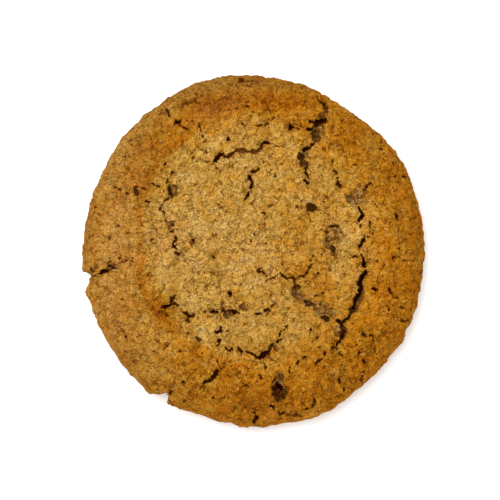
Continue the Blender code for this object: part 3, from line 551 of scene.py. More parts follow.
def openCrust(x, y, spots):  # depth, sag beside the cut, painted shade in the bed, brown wall and bare crumb at each place
    depth, sag, dark, crumb, bare = (np.zeros_like(x) for mask in range(5))
    sagReach, sagDepth = opening["lipDrop"]
    lumpSize, lumpShare = opening["floorLumps"]
    lumps = 0.5 + noiseAt(spots, lumpSize, 23.0)
    fine, coarse = jagged(x, y, opening["fineCrumbs"]), jagged(x, y, opening["coarseCrumbs"])
    for near, ratio, width, deep, darkness in eachOpening(fine, coarse, opening["cutReach"]):
        wide = smoothStep(*opening["wideFrom"], width)
        power = opening["wallPower"][0] * (1 - wide) + opening["wallPower"][1] * wide
        profile = np.clip(1 - ratio ** power, 0.0, 1.0)
        wall = smoothStep(*opening["wallFrom"], profile)
        moist = smoothStep(*opening["bareFrom"], width) * (1 - opening["bareDark"] * darkness)
        beside = np.exp(-np.clip(ratio - 1, 0, None) * width / 2 / sagReach)
        patchy = 1 - opening["floorPatches"] * wide * (1 - darkness) * lumps[near]
        patchy = darkness * np.clip(patchy, 0.0, 1.0)
        for mask, value in ((depth, deep * profile * (1 - lumpShare * wide * lumps[near])),
                            (sag, sagDepth * beside * min(deep / opening["fullSag"], 1.0)),
                            (dark, patchy * smoothStep(*opening["darkFrom"], profile)),
                            (crumb, wall), (bare, wall * moist)):
            mask[near] = np.maximum(mask[near], value)
    for *place, fill in ledges:
        standing = fill * smoothStep(*opening["ledgeEdge"], pitRatio(*fine, *place))
        depth, dark = depth * (1 - standing), dark * (1 - standing)
        crumb = crumb * (1 - opening["ledgeCrumb"] * standing)
        bare = bare * (1 - opening["ledgeBare"] * standing)
    return depth, sag, dark, crumb, bare, fine


def cookieBlank():  # a block, finely divided where the crust and the side will be
    form = cookieForm
    block = bmesh.new()
    bmesh.ops.create_cube(block, size=2.0)

    def divide(chosen, cuts):
        edges = [edge for edge in block.edges if chosen(*(vert.co.z for vert in edge.verts))]
        bmesh.ops.subdivide_edges(block, edges=edges, cuts=cuts, use_grid_fill=True)

    divide(lambda low, high: abs(low - high) < 0.1, form["cells"] - 1)  # the level edges
    divide(lambda low, high: abs(low - high) > 0.1, form["sideRings"] - 1)  # the upright ones
    for step in range(form["refinements"]):
        divide(lambda low, high: max(low, high) > -nearlyOne, 1)  # all but the underside
    return block


def places(block):
    return np.array([vert.co[:] for vert in block.verts])


def refineCuts(block):  # one more division beside the cracks and pits
    x, y, z = fitToBox(roundOut(places(block))).T
    wanted = np.zeros(len(x), bool)
    fine, coarse = jagged(x, y, opening["fineCrumbs"]), jagged(x, y, opening["coarseCrumbs"])
    for near, ratio, width, *cut in eachOpening(fine, coarse, opening["meshReach"]):
        wanted[near] |= ratio * width < width + 2 * opening["margin"]
    wanted &= z > opening["marginAbove"]
    block.verts.ensure_lookup_table()
    chosen = [edge for edge in block.edges if all(wanted[vert.index] for vert in edge.verts)]
    bmesh.ops.subdivide_edges(block, edges=chosen, cuts=1, use_grid_fill=True)


crustRelief = {
    "crags": (2.6, 0.32),  # soft lumps: size, height
    # size, height of the domes, unevenness between them, their reach in cells, width of the creases, shift
    "clods": (2.7, 0.40, 0.32, 0.62, 0.16, 3.0),
    "grain": (1.05, 0.18, 0.12, 0.6, 0.22, 7.0),
    "grit": (0.6, 0.06),
    "warp": (1.7, 0.75),  # how far the clods and grains are bent out of shape
    "domeBase": 0.4,  # share of a dome's height that stands above the crust
    "creaseEnd": 0.02,
    "grainCreases": 0.6,
    "smoother": (9.0, 0.55),  # calmer stretches: size, how much of the grain is left there
    "smootherFrom": (-0.25, 0.2),
    "rimCalm": 0.75,
    "rimCalmFrom": (0.90, 0.985),  # shares of the reach
    "cutCalm": 0.3,  # how much less relief there is in the openings
    "underWaves": (6.5, 0.40, 47.0),  # hollows between the places where the underside touches the tray
    "underPores": (1.6, 0.30, 13.0),
    "underFrom": 0.1,  # the noise above which it is hollow
    "upright": (0.3, 0.7),  # slopes of the crust over which cuts turn from inwards to downwards
    "trayFade": (0.0, 1.6),  # heights over which relief and openings begin above the tray
    "cutFade": (2.5, 5.0),
    "baseFade": (2.2, 0.3),
    "underRim": (41.0, 38.0),
}

# browning of the rim, strongest opposite its pale side
rimToast = {"waver": (3.5, 0.9), "paleSide": 168, "turnPower": 0.8, "start": 25.0, "run": 12.0, "sooner": 4.0,
            "middle": 0.20, "rim": 0.18, "strongest": 0.19, "mottle": (4.5, 0.10)}
# soft spots added to the crust's even tone: x, y, half length, half width, turn, amount
toneSpots = {
    # browner, along the ridge, in the groove beside the lower left crack, at the bottom, in the middle
    "toast": [
        (-26.6, 28, 13, 3.4, 46, 0.18), (-1, 39.2, 15, 2.4, 0, 0.2), (-12, 38.4, 7, 2.2, 16, 0.14),
        (-24.4, -13.6, 7, 2, -61, 0.32), (14, 36.5, 12, 4, -20, 0.1), (3, -39, 17, 6, 4, 0.22),
        (-14, -29, 9, 5, -30, 0.08), (12, -1, 8, 7, -30, 0.22), (17, 9, 9, 6, 30, 0.1),
        (18, -8, 7, 6, 0, 0.14), (20, -13, 9, 4, -30, 0.1), (35, -14, 5, 8, 0, 0.14),
        (16, -19, 9, 5, 0, 0.14), (28, -28, 9, 6, -45, 0.1), (2.5, -36, 5, 5, 0, 0.09),
        (27, 4, 5, 6, 0, 0.06), (20, 12, 5, 4, 30, 0.06), (0, -11, 12, 5, 0, 0.06), (0, 35, 9, 4, 0, -0.05),
        (-20.5, 36, 5, 4, 0, -0.09), (-28, 19.5, 4, 4, 0, 0.08), (10, 20, 6, 5, 0, 0.08),
        (-4.5, 20, 6, 4, 0, 0.05), (42, 12, 3, 5, 0, 0.08), (41, -8.5, 4, 6, 0, 0.09),
        (34, -11.5, 4, 4, 0, 0.05), (18.5, -12, 5, 4, 0, 0.05), (18.5, -27, 6, 4, 0, 0.08),
        (3, -27, 5, 4, 0, 0.06), (3, -43, 5, 3, 0, 0.09), (6, 14, 8, 4, 60, 0.08), (0, -26.5, 9, 3, 0, 0.06),
        (-33, 0, 12, 5, 88, 0.04), (-37, 21, 14, 3.5, 58, -0.12), (-8, 3, 14, 14, 0, -0.02),
        (24, 6, 5, 7, 0, -0.06),
    ],
    # greyer and less orange, mostly the outer slope
    "dusk": [
        (-32.5, 30.5, 22, 4.2, 48, 0.85), (-17, 42, 8, 2.4, 24, 0.65), (-12, 42.4, 9, 2.8, 14, 0.5),
        (1, 43.6, 20, 2.4, -2, 0.7), (-30, -30, 15, 8, -45, 0.35), (0, -42, 14, 5, 0, 0.15),
        (-44, 2, 14, 3.4, 88, 0.45), (4, 17, 6, 3, -60, 0.2), (-4, -1, 9, 5, 10, 0.1),
    ],
    # pinker, mostly the left rim
    "blush": [
        (-36, 2, 22, 7, 88, 0.45), (-29, 22, 8, 4, 58, 0.25), (-34, -20, 14, 7, -62, 0.2),
        (-22, 1, 5, 5, 0, 0.35), (-2, -1, 10, 7, 0, 0.15), (-10, 37, 8, 3, 15, 0.25),
    ],
    # darker or, below nought, paler without being redder
    "dim": [
        (-1, 39.5, 16, 3.5, 0, 0.08), (9, 43, 14, 3, -12, 0.18), (-8, 43.5, 8, 2.5, 8, 0.1),
        (-28, 27, 5, 4, 45, 0.22), (-18, 35, 7, 3, 40, 0.03), (-6, 29, 11, 4.5, 0, -0.12),
        (0, 19.5, 8, 4, 0, -0.07), (27, 8, 4.5, 9, 0, -0.31), (35.6, 3, 4, 6, 0, -0.1),
        (27.8, 34, 6, 4, -50, 0.2), (29, 26, 5, 4, -50, 0.13), (36, 19.6, 6, 4, -60, 0.12),
        (42.5, 1, 3, 13, 0, 0.18), (-34.6, 27.5, 5, 3.5, 50, -0.18), (-29, 18.5, 6, 5, 60, 0.22),
        (-34.5, 21, 8, 4, 58, 0.08), (-42.5, 3, 3, 9, 0, 0.18), (-20, 4, 6, 8, 0, -0.12),
        (-20.5, 19.5, 4, 4, 0, -0.08), (-20.6, -14.2, 1.7, 2.6, 0, 0.3), (34, 27, 4, 4, 0, -0.08),
        (43, 11, 3, 5, 0, 0.1), (12, 4.5, 4, 4, 0, 0.09), (-11, -4, 4, 4, 0, 0.09), (2, -2, 7, 6, 0, -0.22),
        (18, -4, 6, 4, 0, -0.07), (-12.5, 3.5, 5, 5, 0, -0.13), (-28, -3, 4, 5, 0, 0.07),
        (14, -11, 8, 4, 0, 0.09), (-4.5, -19.5, 5, 4, 0, 0.1), (-12.5, -19.5, 4.5, 4, 0, -0.15),
        (-16.5, -11.5, 6, 4, 0, -0.09), (-20, -19.5, 4, 4, 0, 0.08), (-24.3, -12.4, 6, 4, -60, 0.11),
        (-32, -15, 8, 6, -60, 0.13), (35, -14, 5, 8, 0, -0.22), (19, -19, 5, 4, 0, -0.16),
        (18.5, -28, 7, 5, 20, 0.18), (28, -28, 8, 6, -45, -0.13), (0, -26.5, 9, 3, 0, 0.1),
        (-17.9, -31, 8, 5, -30, 0.09), (-6, -38, 7, 6, 0, 0.09), (3, -35.5, 4, 4, 0, -0.14),
        (12, -42.5, 7, 3, 0, -0.42), (11, 27.5, 5, 4, 0, -0.1), (-32, -27, 6, 5, 0, 0.07),
        (-4.7, -35, 4, 4, 0, 0.09), (20, -34, 6, 4, 0, -0.08), (-11.5, 37.8, 4.6, 2.2, 14, 0.22),
        (-16.6, 32.2, 2.6, 2.4, 0, -0.3), (-25, 30, 3, 2, 45, 0.3),
    ],
}
paintedRimShade = {"from": 39.5, "to": 43.0, "amount": 0.10}  # painted shade where the crust rolls down towards the side, in mm from the middle
# folds with one sharp side, partly browning and partly painted shade: amount, width outwards, width inwards,
# route counterclockwise
toastAndShadeFolds = {
    "plateLeft": (0.29, 1.6, 0.5, [(-16, 30.5), (-21, 27), (-24.6, 23.3), (-26.8, 18.7), (-29.2, 12.2),
                                   (-29, 6), (-28.8, 0), (-29, -6), (-27.6, -12), (-25.4, -15.5)]),
    "plateLow": (0.20, 2.6, 0.9, [(-25, -15.5), (-21, -20), (-15.5, -25), (-9, -28), (-1, -30)]),
    "ridgeUpper": (0.26, 0.5, 3.0, [(-6, 39.8), (-9.9, 39.1), (-12.5, 38.3), (-15.1, 37.3), (-17.9, 36),
                                    (-19.5, 34.7)]),
    "ridgeTop": (0.12, 2.6, 1.4, [(12, 37.6), (2, 38.2), (-7, 36.8), (-14, 32.5)]),
}


def spotField(x, y, kind):
    total = np.zeros_like(x)
    for centreX, centreY, halfLength, halfWidth, turn, amount in toneSpots[kind]:
        ratio = pitRatio(x, y, centreX, centreY, 2 * halfLength, 2 * halfWidth, turn)
        total += amount * np.exp(-ratio ** 2)
    return total


def foldField(x, y, amount, outwards, inwards, route):
    best = np.full_like(x, 99.0)
    outside = np.zeros(len(x), bool)
    for share, apart, outsideHere in stretches(x, y, route):
        outside = np.where(apart < best, outsideHere, outside)
        best = np.minimum(best, apart)
    return amount * np.exp(-(best / np.where(outside, outwards, inwards)) ** 2)


def browning(x, y, spots):
    size, push = rimToast["waver"]
    x = x + push * noiseAt(flat(x, y, 61.0), size)
    y = y + push * noiseAt(flat(x, y, 83.0), size)
    turned = (0.5 - 0.5 * np.cos(np.radians(bearing(x, y) - rimToast["paleSide"]))) ** rimToast["turnPower"]
    sooner = rimToast["sooner"] * turned
    edge = smoothStep(0.0, 1.0, (np.hypot(x, y) - rimToast["start"] + sooner) / (rimToast["run"] + sooner))
    total = rimToast["middle"] + edge * (rimToast["rim"] + rimToast["strongest"] * turned)
    total += spotField(x, y, "toast")
    for fold in toastAndShadeFolds.values():
        total += foldField(x, y, *fold)
    size, height = rimToast["mottle"]
    return total + height * noiseAt(spots, size, 17.0)


def domes(bent, size, height, uneven, reach, creaseWidth, shift):  # relief, creases, the cells' numbers
    nearest, second, own = cellsAt(bent, size, shift)[:3]
    return (height * (crustRelief["domeBase"] - (nearest / reach) ** 2) + uneven * (own - 0.5),
            smoothStep(creaseWidth, crustRelief["creaseEnd"], second - nearest), own)


def surfaceRelief(spots):  # height of the crumbly relief, its creases and each clod's own number
    x, y, z = spots.T
    size, push = crustRelief["warp"]
    bent = spots + push * np.column_stack([noiseAt(spots, size, shift) for shift in (1.0, 2.0, 4.0)])
    size, height = crustRelief["crags"]
    relief = height * noiseAt(spots, size, 5.0)
    outward = np.hypot(x, y) / reachAt(bearing(x, y))
    inner = 1 - crustRelief["rimCalm"] * smoothStep(*crustRelief["rimCalmFrom"], outward)
    clods, clodCreases, clodNumber = domes(bent, *crustRelief["clods"])
    size, left = crustRelief["smoother"]
    rough = left + (1 - left) * smoothStep(*crustRelief["smootherFrom"], noiseAt(spots, size, 29.0))
    grains, grainCreases = domes(bent, *crustRelief["grain"])[:2]
    size, height = crustRelief["grit"]
    relief += inner * clods + rough * grains + height * noiseAt(spots, size, 9.0)
    return relief, np.maximum(clodCreases, crustRelief["grainCreases"] * grainCreases * rough), clodNumber


def vectorsOf(items, name):
    values = np.empty(len(items) * 3)
    items.foreach_get(name, values)
    return values.reshape(-1, 3)


def makeCookie():
    block = cookieBlank()
    refineCuts(block)
    square = places(block)
    for vert, place in zip(block.verts, fitToBox(roundOut(square))):
        vert.co = place
    mesh = bpy.data.meshes.new("cookieCrust")
    block.to_mesh(mesh)
    block.free()
    mesh.update()
    print("cookie mesh:", len(mesh.vertices), "points,", len(mesh.polygons), "faces")

    spots, normals = vectorsOf(mesh.vertices, "co"), vectorsOf(mesh.vertex_normals, "vector")
    x, y, z = spots.T
    *cuts, fine = openCrust(x, y, spots)
    depth, sag, dark, crumb, bare = (cut * smoothStep(*crustRelief["cutFade"], z) for cut in cuts)
    print("cracks opened:", len(cracks))

    bed = pitRatio(*fine, *chip["place"], *chip["bedSize"], chip["turn"])
    chipBody = pitRatio(*fine, *chip["place"], *chip["size"], chip["turn"])
    bedDepth = chip["bed"] * np.clip(1 - bed ** 3, 0, 1) - chip["rise"] * np.clip(1 - chipBody ** 2, 0, 1)
    depth = np.maximum(depth, np.where(bed < 1, np.maximum(bedDepth, chip["leastBed"]), 0))
    relief, creases, clodNumber = surfaceRelief(spots)
    print("crust relief worked out")

    relief *= smoothStep(*crustRelief["trayFade"], z) * (1 - crustRelief["cutCalm"] * crumb)
    upright = smoothStep(*crustRelief["upright"], normals[:, 2])[:, None]
    downwards = normals * (1 - upright) + np.array([0.0, 0.0, 1.0]) * upright
    moved = spots + normals * relief[:, None] - downwards * (depth + sag)[:, None]
    hollows = sum(height * np.clip(noiseAt(spots, size, shift) - crustRelief["underFrom"], 0, None)
                  for size, height, shift in (crustRelief["underPores"], crustRelief["underWaves"]))
    under = square[:, 2] < -nearlyOne
    moved[under, 2] = (hollows * smoothStep(*crustRelief["underRim"], np.hypot(x, y)))[under]
    moved[:, 2] = np.maximum(moved[:, 2], 0.0)
    moved = fitToBox(moved)
    moved[:, 2] *= cadBox[1][2] / mm / moved[:, 2].max()
    mesh.vertices.foreach_set("co", (moved * mm).ravel())

    ring = paintedRimShade["amount"] * smoothStep(paintedRimShade["from"], paintedRimShade["to"], np.hypot(x, y))
    # gap carries the shade painted into the beds of the openings
    masks = {"gap": dark, "crumb": crumb, "bare": bare, "halo": sag / opening["lipDrop"][1],
             "chip": smoothStep(*chip["edge"], chipBody), "toast": browning(x, y, spots),
             "dusk": np.clip(spotField(x, y, "dusk"), 0, 1), "blush": np.clip(spotField(x, y, "blush"), 0, 1),
             "dim": spotField(x, y, "dim") + ring, "clod": clodNumber, "crease": creases,
             "base": smoothStep(*crustRelief["baseFade"], z)}
    for name, values in masks.items():
        layer = mesh.attributes.new(name, 'FLOAT', 'POINT')
        layer.data.foreach_set("value", np.ascontiguousarray(values, dtype=np.float32))
    mesh.update()
    for polygon in mesh.polygons:
        polygon.use_smooth = True
    return addObject("cookieCrust", mesh)


def tone(red, green, blue):  # an on-screen colour, 0 to 255, as the shader's linear one
    shares = [value / 255 for value in (red, green, blue)]
    linear = (share / 12.92 if share <= 0.04045 else ((share + 0.055) / 1.055) ** 2.4 for share in shares)
    return (*linear, 1.0)


class NodeBoard:  # a new material and short ways to add its nodes
    def __init__(self, name):
        self.material = bpy.data.materials.new(name)
        self.material.use_nodes = True
        self.tree = self.material.node_tree
        self.shader = self.tree.nodes["Principled BSDF"]

    def feed(self, node, inputs):  # a socket is linked, a number or a colour is set
        for name, value in inputs.items():
            if isinstance(value, bpy.types.NodeSocket):
                self.tree.links.new(value, node.inputs[name])
            else:
                node.inputs[name].default_value = value

    def add(self, kind, inputs, output=0, **settings):
        node = self.tree.nodes.new("ShaderNode" + kind)
        for name, value in settings.items():
            setattr(node, name, value)
        self.feed(node, inputs)
        return node.outputs[output]

    def noise(self, coords, perMm, detail=3.0, roughness=0.55):
        inputs = {"Vector": coords, "Scale": perMm / mm, "Detail": detail, "Roughness": roughness}
        return self.add("TexNoise", inputs, "Fac")

    def cells(self, coords, perMm, output, feature='F1'):
        return self.add("TexVoronoi", {"Vector": coords, "Scale": perMm / mm}, output, feature=feature)

    def calc(self, operation, first, second, clamp=False):
        return self.add("Math", {0: first, 1: second}, operation=operation, use_clamp=clamp)

    def mix(self, factor, first, second, blend='MIX'):
        return self.add("Mix", {0: factor, 6: first, 7: second}, 2, data_type='RGBA', blend_type=blend)

    def ranged(self, value, low, high, toLow=0.0, toHigh=1.0):
        inputs = {"Value": value, "From Min": low, "From Max": high, "To Min": toLow, "To Max": toHigh}
        return self.add("MapRange", inputs, "Result", clamp=True)

    def attribute(self, name):
        return self.add("Attribute", {}, "Fac", attribute_name=name)

    def objectCoords(self):
        return self.add("TexCoord", {}, "Object")

    def bump(self, height, distance):
        bumped = self.add("Bump", {"Distance": distance, "Height": height}, "Normal")
        self.feed(self.shader, {"Normal": bumped})


crustLook = {
    "toastStops": [(0.0, tone(202, 160, 81)), (0.25, tone(192, 142, 53)), (0.5, tone(183, 119, 23)),
                   (0.75, tone(172, 99, 7)), (1.0, tone(146, 79, 2))],
    "dusk": tone(158, 112, 44), "blush": tone(180, 126, 66), "orange": tone(186, 122, 34),
    # the speck tone is painted shade for the creases between clods and for small pores
    "speck": tone(110, 57, 1), "highlight": tone(232, 190, 122), "halo": tone(142, 85, 3),
    # the crinkle tone is painted shade for pinholes and thin crevices
    "crinkle": tone(104, 52, 0), "wall": tone(128, 75, 6), "wallDark": tone(86, 39, 0),
    # the gap tone is painted shade for the beds of cracks and pits
    "crumb": tone(178, 134, 70), "crumbDark": tone(112, 67, 12), "gap": tone(58, 13, 0),
    "chip": tone(72, 38, 3), "pore": tone(84, 46, 12),
    "under": tone(158, 102, 40), "underDark": tone(132, 80, 24),
    "roughness": 0.85,
    "specular": 0.01,
    "warmShade": (0.70, 1.0, 2.1),  # shade powers of red, green and blue: browner hollows, paler crests
    "bump": 0.5,  # mm
    "shift": (0.31357, 0.22413, 0.10791),  # keeps the noises' own planes out of the cookie
    "bend": (0.8, 1.1),  # waves to the mm and push in mm, so that cells lose their straight sides
    # where each mask begins and is full, and its strength there
    "masks": {"duskPatches": (0.52, 0.72, 0.0, 0.45), "duskOnToast": (0.25, 0.55, 1.0, 0.1),
              "orange": (0.46, 0.30, 0.0, 0.3), "creases": (0.2, 1.0, 0.0, 0.36),
              "specks": (0.66, 0.74, 0.0, 0.65), "calm": (0.0, 0.45, 1.0, 0.5),
              "pinholes": (0.67, 0.75, 0.0, 0.6), "crowded": (0.35, 0.65, -0.05, 0.05),
              "strength": (0.35, 0.65, 0.32, 0.84), "halo": (0.35, 0.65, 0.1, 0.7),
              "glints": (0.58, 0.74, 0.0, 0.45),
              "glintsOnToast": (0.35, 0.60, 1.0, 0.25), "underneath": (0.5, 1.0),
              "underPatches": (0.38, 0.60), "underHalo": (0.52, 0.72, 0.0, 0.5), "pores": (0.34, 0.16),
              "poresFrom": (0.48, 0.56), "wall": (0.36, 0.62), "moist": (0.40, 0.62),
              "deepSpeck": (0.58, 0.72)},
    "layerShares": {"underneath": 0.75, "pores": 0.85, "wall": 0.85},
    "shade": (0.2, 0.8, 0.93, 1.19),
    # noises: cells to the mm, detail, roughness; the second lot on bent coordinates
    "noises": {"broad": (0.24, 3.0, 0.55), "medium": (0.7, 3.0, 0.6), "fine": (2.0, 3.0, 0.7),
               "grit": (3.6, 2.0, 0.6), "pinhole": (2.7, 1.0, 0.5), "crowded": (0.13, 1.0, 0.55),
               "strength": (0.45, 0.0, 0.55), "glint": (2.0, 1.0, 0.5)},
    "bentNoises": {"hue": (0.33, 4.0, 0.6), "speck": (1.5, 2.0, 0.6), "moist": (0.85, 2.0, 0.6),
                   "swell": (1.1, 1.0, 0.5)},
    "granules": 1.5,
    "facets": 0.85,
    "pores": 0.62,
    # what moves the browning and what moves the shade: from, to, swing either way
    "toastSwings": {"broad": (0.3, 0.7, 0.13), "medium": (0.3, 0.7, 0.17), "fine": (0.3, 0.7, 0.07),
                    "clod": (0.0, 1.0, 0.06)},
    "shadeSwings": {"grit": (0.2, 0.8, 0.38), "granule": (0.0, 1.0, 0.10), "facet": (0.0, 1.0, 0.10),
                    "clod": (0.0, 1.0, 0.06)},
    # short tapering dashes of painted shade along the borders of bent cells, for thin crevices: cells to the
    # mm, half width in mm, gaps
    "crinkles": [(0.30, 0.24, 0.63), (0.50, 0.22, 0.66), (0.85, 0.19, 0.69)],
    "gapNoise": 1.6,  # against the cells
    "gapBlur": 0.08,
    "dashEdge": 0.5,  # share of a dash's half width over which it fades
    # what stands up and, below nought, lies low in the bump
    "bumpShares": {"fine": 1.1, "dome": -0.8, "deepSpeck": -0.7, "crinkles": -1.2, "pores": -2.0,
                   "glint": 0.5, "grit": 0.25, "swell": 1.6},
}


def bentCoords(board, coords, perMm, push):
    wave = board.add("TexNoise", {"Vector": coords, "Scale": perMm / mm, "Detail": 2.0}, "Color")
    wave = board.add("VectorMath", {0: wave, 1: (0.5, 0.5, 0.5)}, operation='SUBTRACT')
    wave = board.add("VectorMath", {0: wave, "Scale": push * mm}, operation='SCALE')
    return board.add("VectorMath", {0: coords, 1: wave}, operation='ADD')


def crinkleLines(board, bent, coords, crowded, perMm, halfWidth, gaps):
    borders = board.cells(bent, perMm, "Distance", 'DISTANCE_TO_EDGE')
    look = crustLook
    chance = board.calc('ADD', board.noise(coords, perMm * look["gapNoise"], 0.0), crowded)
    share = board.ranged(chance, gaps, gaps + look["gapBlur"])
    reach = halfWidth * perMm
    inside = board.calc('SUBTRACT', board.calc('MULTIPLY', share, reach), borders)
    return board.ranged(inside, 0.0, look["dashEdge"] * reach)


def crustMaterial():
    look = crustLook
    board = NodeBoard("bakedCrust")
    calc, mix, ranged, attribute = board.calc, board.mix, board.ranged, board.attribute
    coords = board.add("VectorMath", {0: board.objectCoords(), 1: look["shift"]}, operation='ADD')
    bent = bentCoords(board, coords, *look["bend"])
    grain = {name: board.noise(coords, *row) for name, row in look["noises"].items()}
    grain.update((name, board.noise(bent, *row)) for name, row in look["bentNoises"].items())
    granules = board.cells(bent, look["granules"], "Distance")
    granuleColours = granules.node.outputs["Color"]
    facetColours = board.cells(bent, look["facets"], "Color")
    grain["granule"], grain["facet"] = (board.add("SeparateColor", {0: colours})
                                        for colours in (granuleColours, facetColours))
    grain["clod"] = attribute("clod")
    grain["dome"] = calc('MULTIPLY', granules, granules)
    toast, blush = attribute("toast"), attribute("blush")
    medium, hue = grain["medium"], grain["hue"]

    def masked(name, value):
        return ranged(value, *look["masks"][name])

    def swung(total, swings):
        for name, (low, high, swing) in swings.items():
            total = calc('ADD', total, ranged(grain[name], low, high, -swing, swing))
        return total

    ramp = board.add("ValToRGB", {"Fac": swung(toast, look["toastSwings"])}, "Color")
    stops = ramp.node.color_ramp.elements
    while len(stops) < len(look["toastStops"]):
        stops.new(0.5)
    for stop, (position, colour) in zip(stops, look["toastStops"]):
        stop.position, stop.color = position, colour
    shade = swung(ranged(grain["fine"], *look["shade"]), look["shadeSwings"])
    shade = calc('SUBTRACT', shade, attribute("dim"))
    warmShade = board.add("CombineColor", {channel: calc('POWER', shade, power)
                                           for channel, power in enumerate(look["warmShade"])})

    duskPatches = calc('MULTIPLY', masked("duskPatches", hue), masked("duskOnToast", toast))
    calm = masked("calm", blush)
    crowded = masked("crowded", grain["crowded"])
    crinkles = 0.0
    for row in look["crinkles"]:
        crinkles = calc('MAXIMUM', crinkleLines(board, bent, coords, crowded, *row), crinkles)
    strength = calc('MULTIPLY', masked("strength", grain["strength"]), calm)
    underneath = masked("underneath", attribute("base"))
    underTone = mix(masked("underPatches", hue), look["underDark"], look["under"])
    underTone = mix(masked("underHalo", medium), underTone, look["halo"])
    pores = masked("pores", board.cells(bent, look["pores"], "Distance"))
    pores = calc('MULTIPLY', calc('MULTIPLY', pores, masked("poresFrom", medium)), underneath)
    wall = mix(masked("wall", grain["fine"]), look["wallDark"], look["wall"])
    moist = mix(masked("moist", grain["moist"]), look["crumbDark"], look["crumb"])
    shares = look["layerShares"]

    def stacked(colour, layers):
        for mask, layer in layers:
            colour = mix(mask, colour, layer)
        return colour

    colour = stacked(ramp, [
        (calc('ADD', attribute("dusk"), duskPatches, True), look["dusk"]),
        (blush, look["blush"]),
        (masked("orange", hue), look["orange"]),
        # painted shade: the creases between clods and the small pores are darkened
        (masked("creases", attribute("crease")), look["speck"]),
        (masked("specks", grain["speck"]), look["speck"]),
        # painted shade in pinholes and thin crevices
        (calc('MULTIPLY', masked("pinholes", grain["pinhole"]), calm), look["crinkle"]),
        (calc('MULTIPLY', crinkles, strength), look["crinkle"]),
        # painted shade on the sagging lips beside the cracks
        (calc('MULTIPLY', attribute("halo"), masked("halo", medium)), look["halo"]),
        (calc('MULTIPLY', masked("glints", grain["glint"]), masked("glintsOnToast", toast)),
         look["highlight"]),
        (calc('MULTIPLY', underneath, shares["underneath"]), underTone),
        # painted shade in the underside's pores
        (calc('MULTIPLY', pores, shares["pores"]), look["pore"]),
        (calc('MULTIPLY', attribute("crumb"), shares["wall"]), wall),
        (attribute("bare"), moist)])
    colour = mix(1.0, colour, warmShade, 'MULTIPLY')
    # painted shade in the beds of cracks and pits, then the chip's own colour
    colour = stacked(colour, [(attribute("gap"), look["gap"]), (attribute("chip"), look["chip"])])
    board.feed(board.shader, {"Base Color": colour, "Roughness": look["roughness"],
                              "Specular IOR Level": look["specular"]})

    grain.update(crinkles=crinkles, pores=pores, deepSpeck=masked("deepSpeck", grain["speck"]))
    height = 0.0
    for name, share in look["bumpShares"].items():
        height = calc('ADD', calc('MULTIPLY', grain[name], share), height)
    board.bump(height, look["bump"] * mm)
    return board.material


looseCrumbs = {
    "count": 130,
    "radius": (0.14, 0.34),  # mm
    "beside": (0.25, 1.1),  # how far from a crack's line they lie
    "besideFrom": 0.4,  # width of the cracks that have them
    "sunk": 0.45,  # share of the radius pressed into the crust
    "flatten": (0.65, 1.0),
    "lean": 0.6,
    "bumps": (0.45, 0.35),  # unevenness: size against the radius, height
    "seed": 21,
    "deepest": 0.7,  # mm below the crust: none lie in the openings
    "pale": tone(204, 156, 84),
    "brown": tone(166, 108, 40),
    "mottle": (0.9, 2.0),  # noises: cells to the mm, detail, roughness
    "grain": (5.0, 3.0, 0.7),
    "paleFrom": (0.35, 0.65),
    "specks": (0.35, 0.7, 0.35, 0.0),
    "bump": 0.1,
}
sugarGrains = {
    "count": 60,
    "size": (0.12, 0.26),
    "wider": (0.7, 1.0),
    "taller": (0.8, 1.3),
    "bevel": 0.12,
    "sunk": 0.35,
    "reach": 0.93,
    "seed": 5,
    "tone": tone(228, 194, 136),
    "roughness": 0.25,
}


def crustUnder(tree, x, y):  # where the crust lies below a place in mm, and how it leans there
    return tree.ray_cast(Vector((x * mm, y * mm, 0.1)), Vector((0, 0, -1)))[:2]


def finishPiece(block, name, material):
    mesh = bpy.data.meshes.new(name)
    bmesh.ops.recalc_face_normals(block, faces=block.faces)
    block.to_mesh(mesh)
    block.free()
    mesh.materials.append(material)
    piece = addObject(name, mesh)
    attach(piece, "root")


def crumbMaterial():
    look = looseCrumbs
    board = NodeBoard("looseCrumb")
    coords = board.objectCoords()
    mottle, grain = board.noise(coords, *look["mottle"]), board.noise(coords, *look["grain"])
    colour = board.mix(board.ranged(mottle, *look["paleFrom"]), look["brown"], look["pale"])
    colour = board.mix(board.ranged(grain, *look["specks"]), colour, crustLook["speck"])
    board.feed(board.shader, {"Base Color": colour, "Roughness": crustLook["roughness"],
                              "Specular IOR Level": crustLook["specular"]})
    board.bump(grain, look["bump"] * mm)
    return board.material


def makeCrumbs(tree):
    look = looseCrumbs
    chance = random.Random(look["seed"])
    routes = [route for width, deep, darkness, *route in cracks if width > look["besideFrom"]]
    block = bmesh.new()
    for number in range(look["count"]):
        route = chance.choice(routes)
        start = chance.randrange(len(route) - 1)
        (ax, ay), (bx, by) = route[start:start + 2]
        share, aside = chance.random(), chance.uniform(*look["beside"]) * chance.choice((-1, 1))
        length = math.dist((ax, ay), (bx, by))
        x = ax + share * (bx - ax) - aside * (by - ay) / length
        y = ay + share * (by - ay) + aside * (bx - ax) / length
        spot, normal = crustUnder(tree, x, y)
        radius = chance.uniform(*look["radius"]) * mm
        surface = crustHeight(np.array([x]), np.array([y]))[0]
        if spot is None or spot.z / mm < surface - look["deepest"]:
            continue
        turn = Matrix.Rotation(chance.uniform(0, math.tau), 4, 'Z')
        turn = turn @ Matrix.Rotation(chance.uniform(-look["lean"], look["lean"]), 4, 'X')
        flattened = [chance.uniform(*look["flatten"]) for axis in range(2)]
        squash = Matrix.Diagonal((1.0, *flattened, 1.0))
        lift = Matrix.Translation(spot + normal * radius * (1 - look["sunk"]))
        made = bmesh.ops.create_icosphere(block, subdivisions=2, radius=radius, matrix=lift @ turn @ squash)
        size, height = look["bumps"]
        for vert in made["verts"]:
            wave = noise.noise(vert.co / (size * radius * 2) + Vector((number, 0, 0)))
            vert.co += (vert.co - lift.translation) * height * wave
    for face in block.faces:
        face.smooth = True
    finishPiece(block, "looseCrumbs", crumbMaterial())


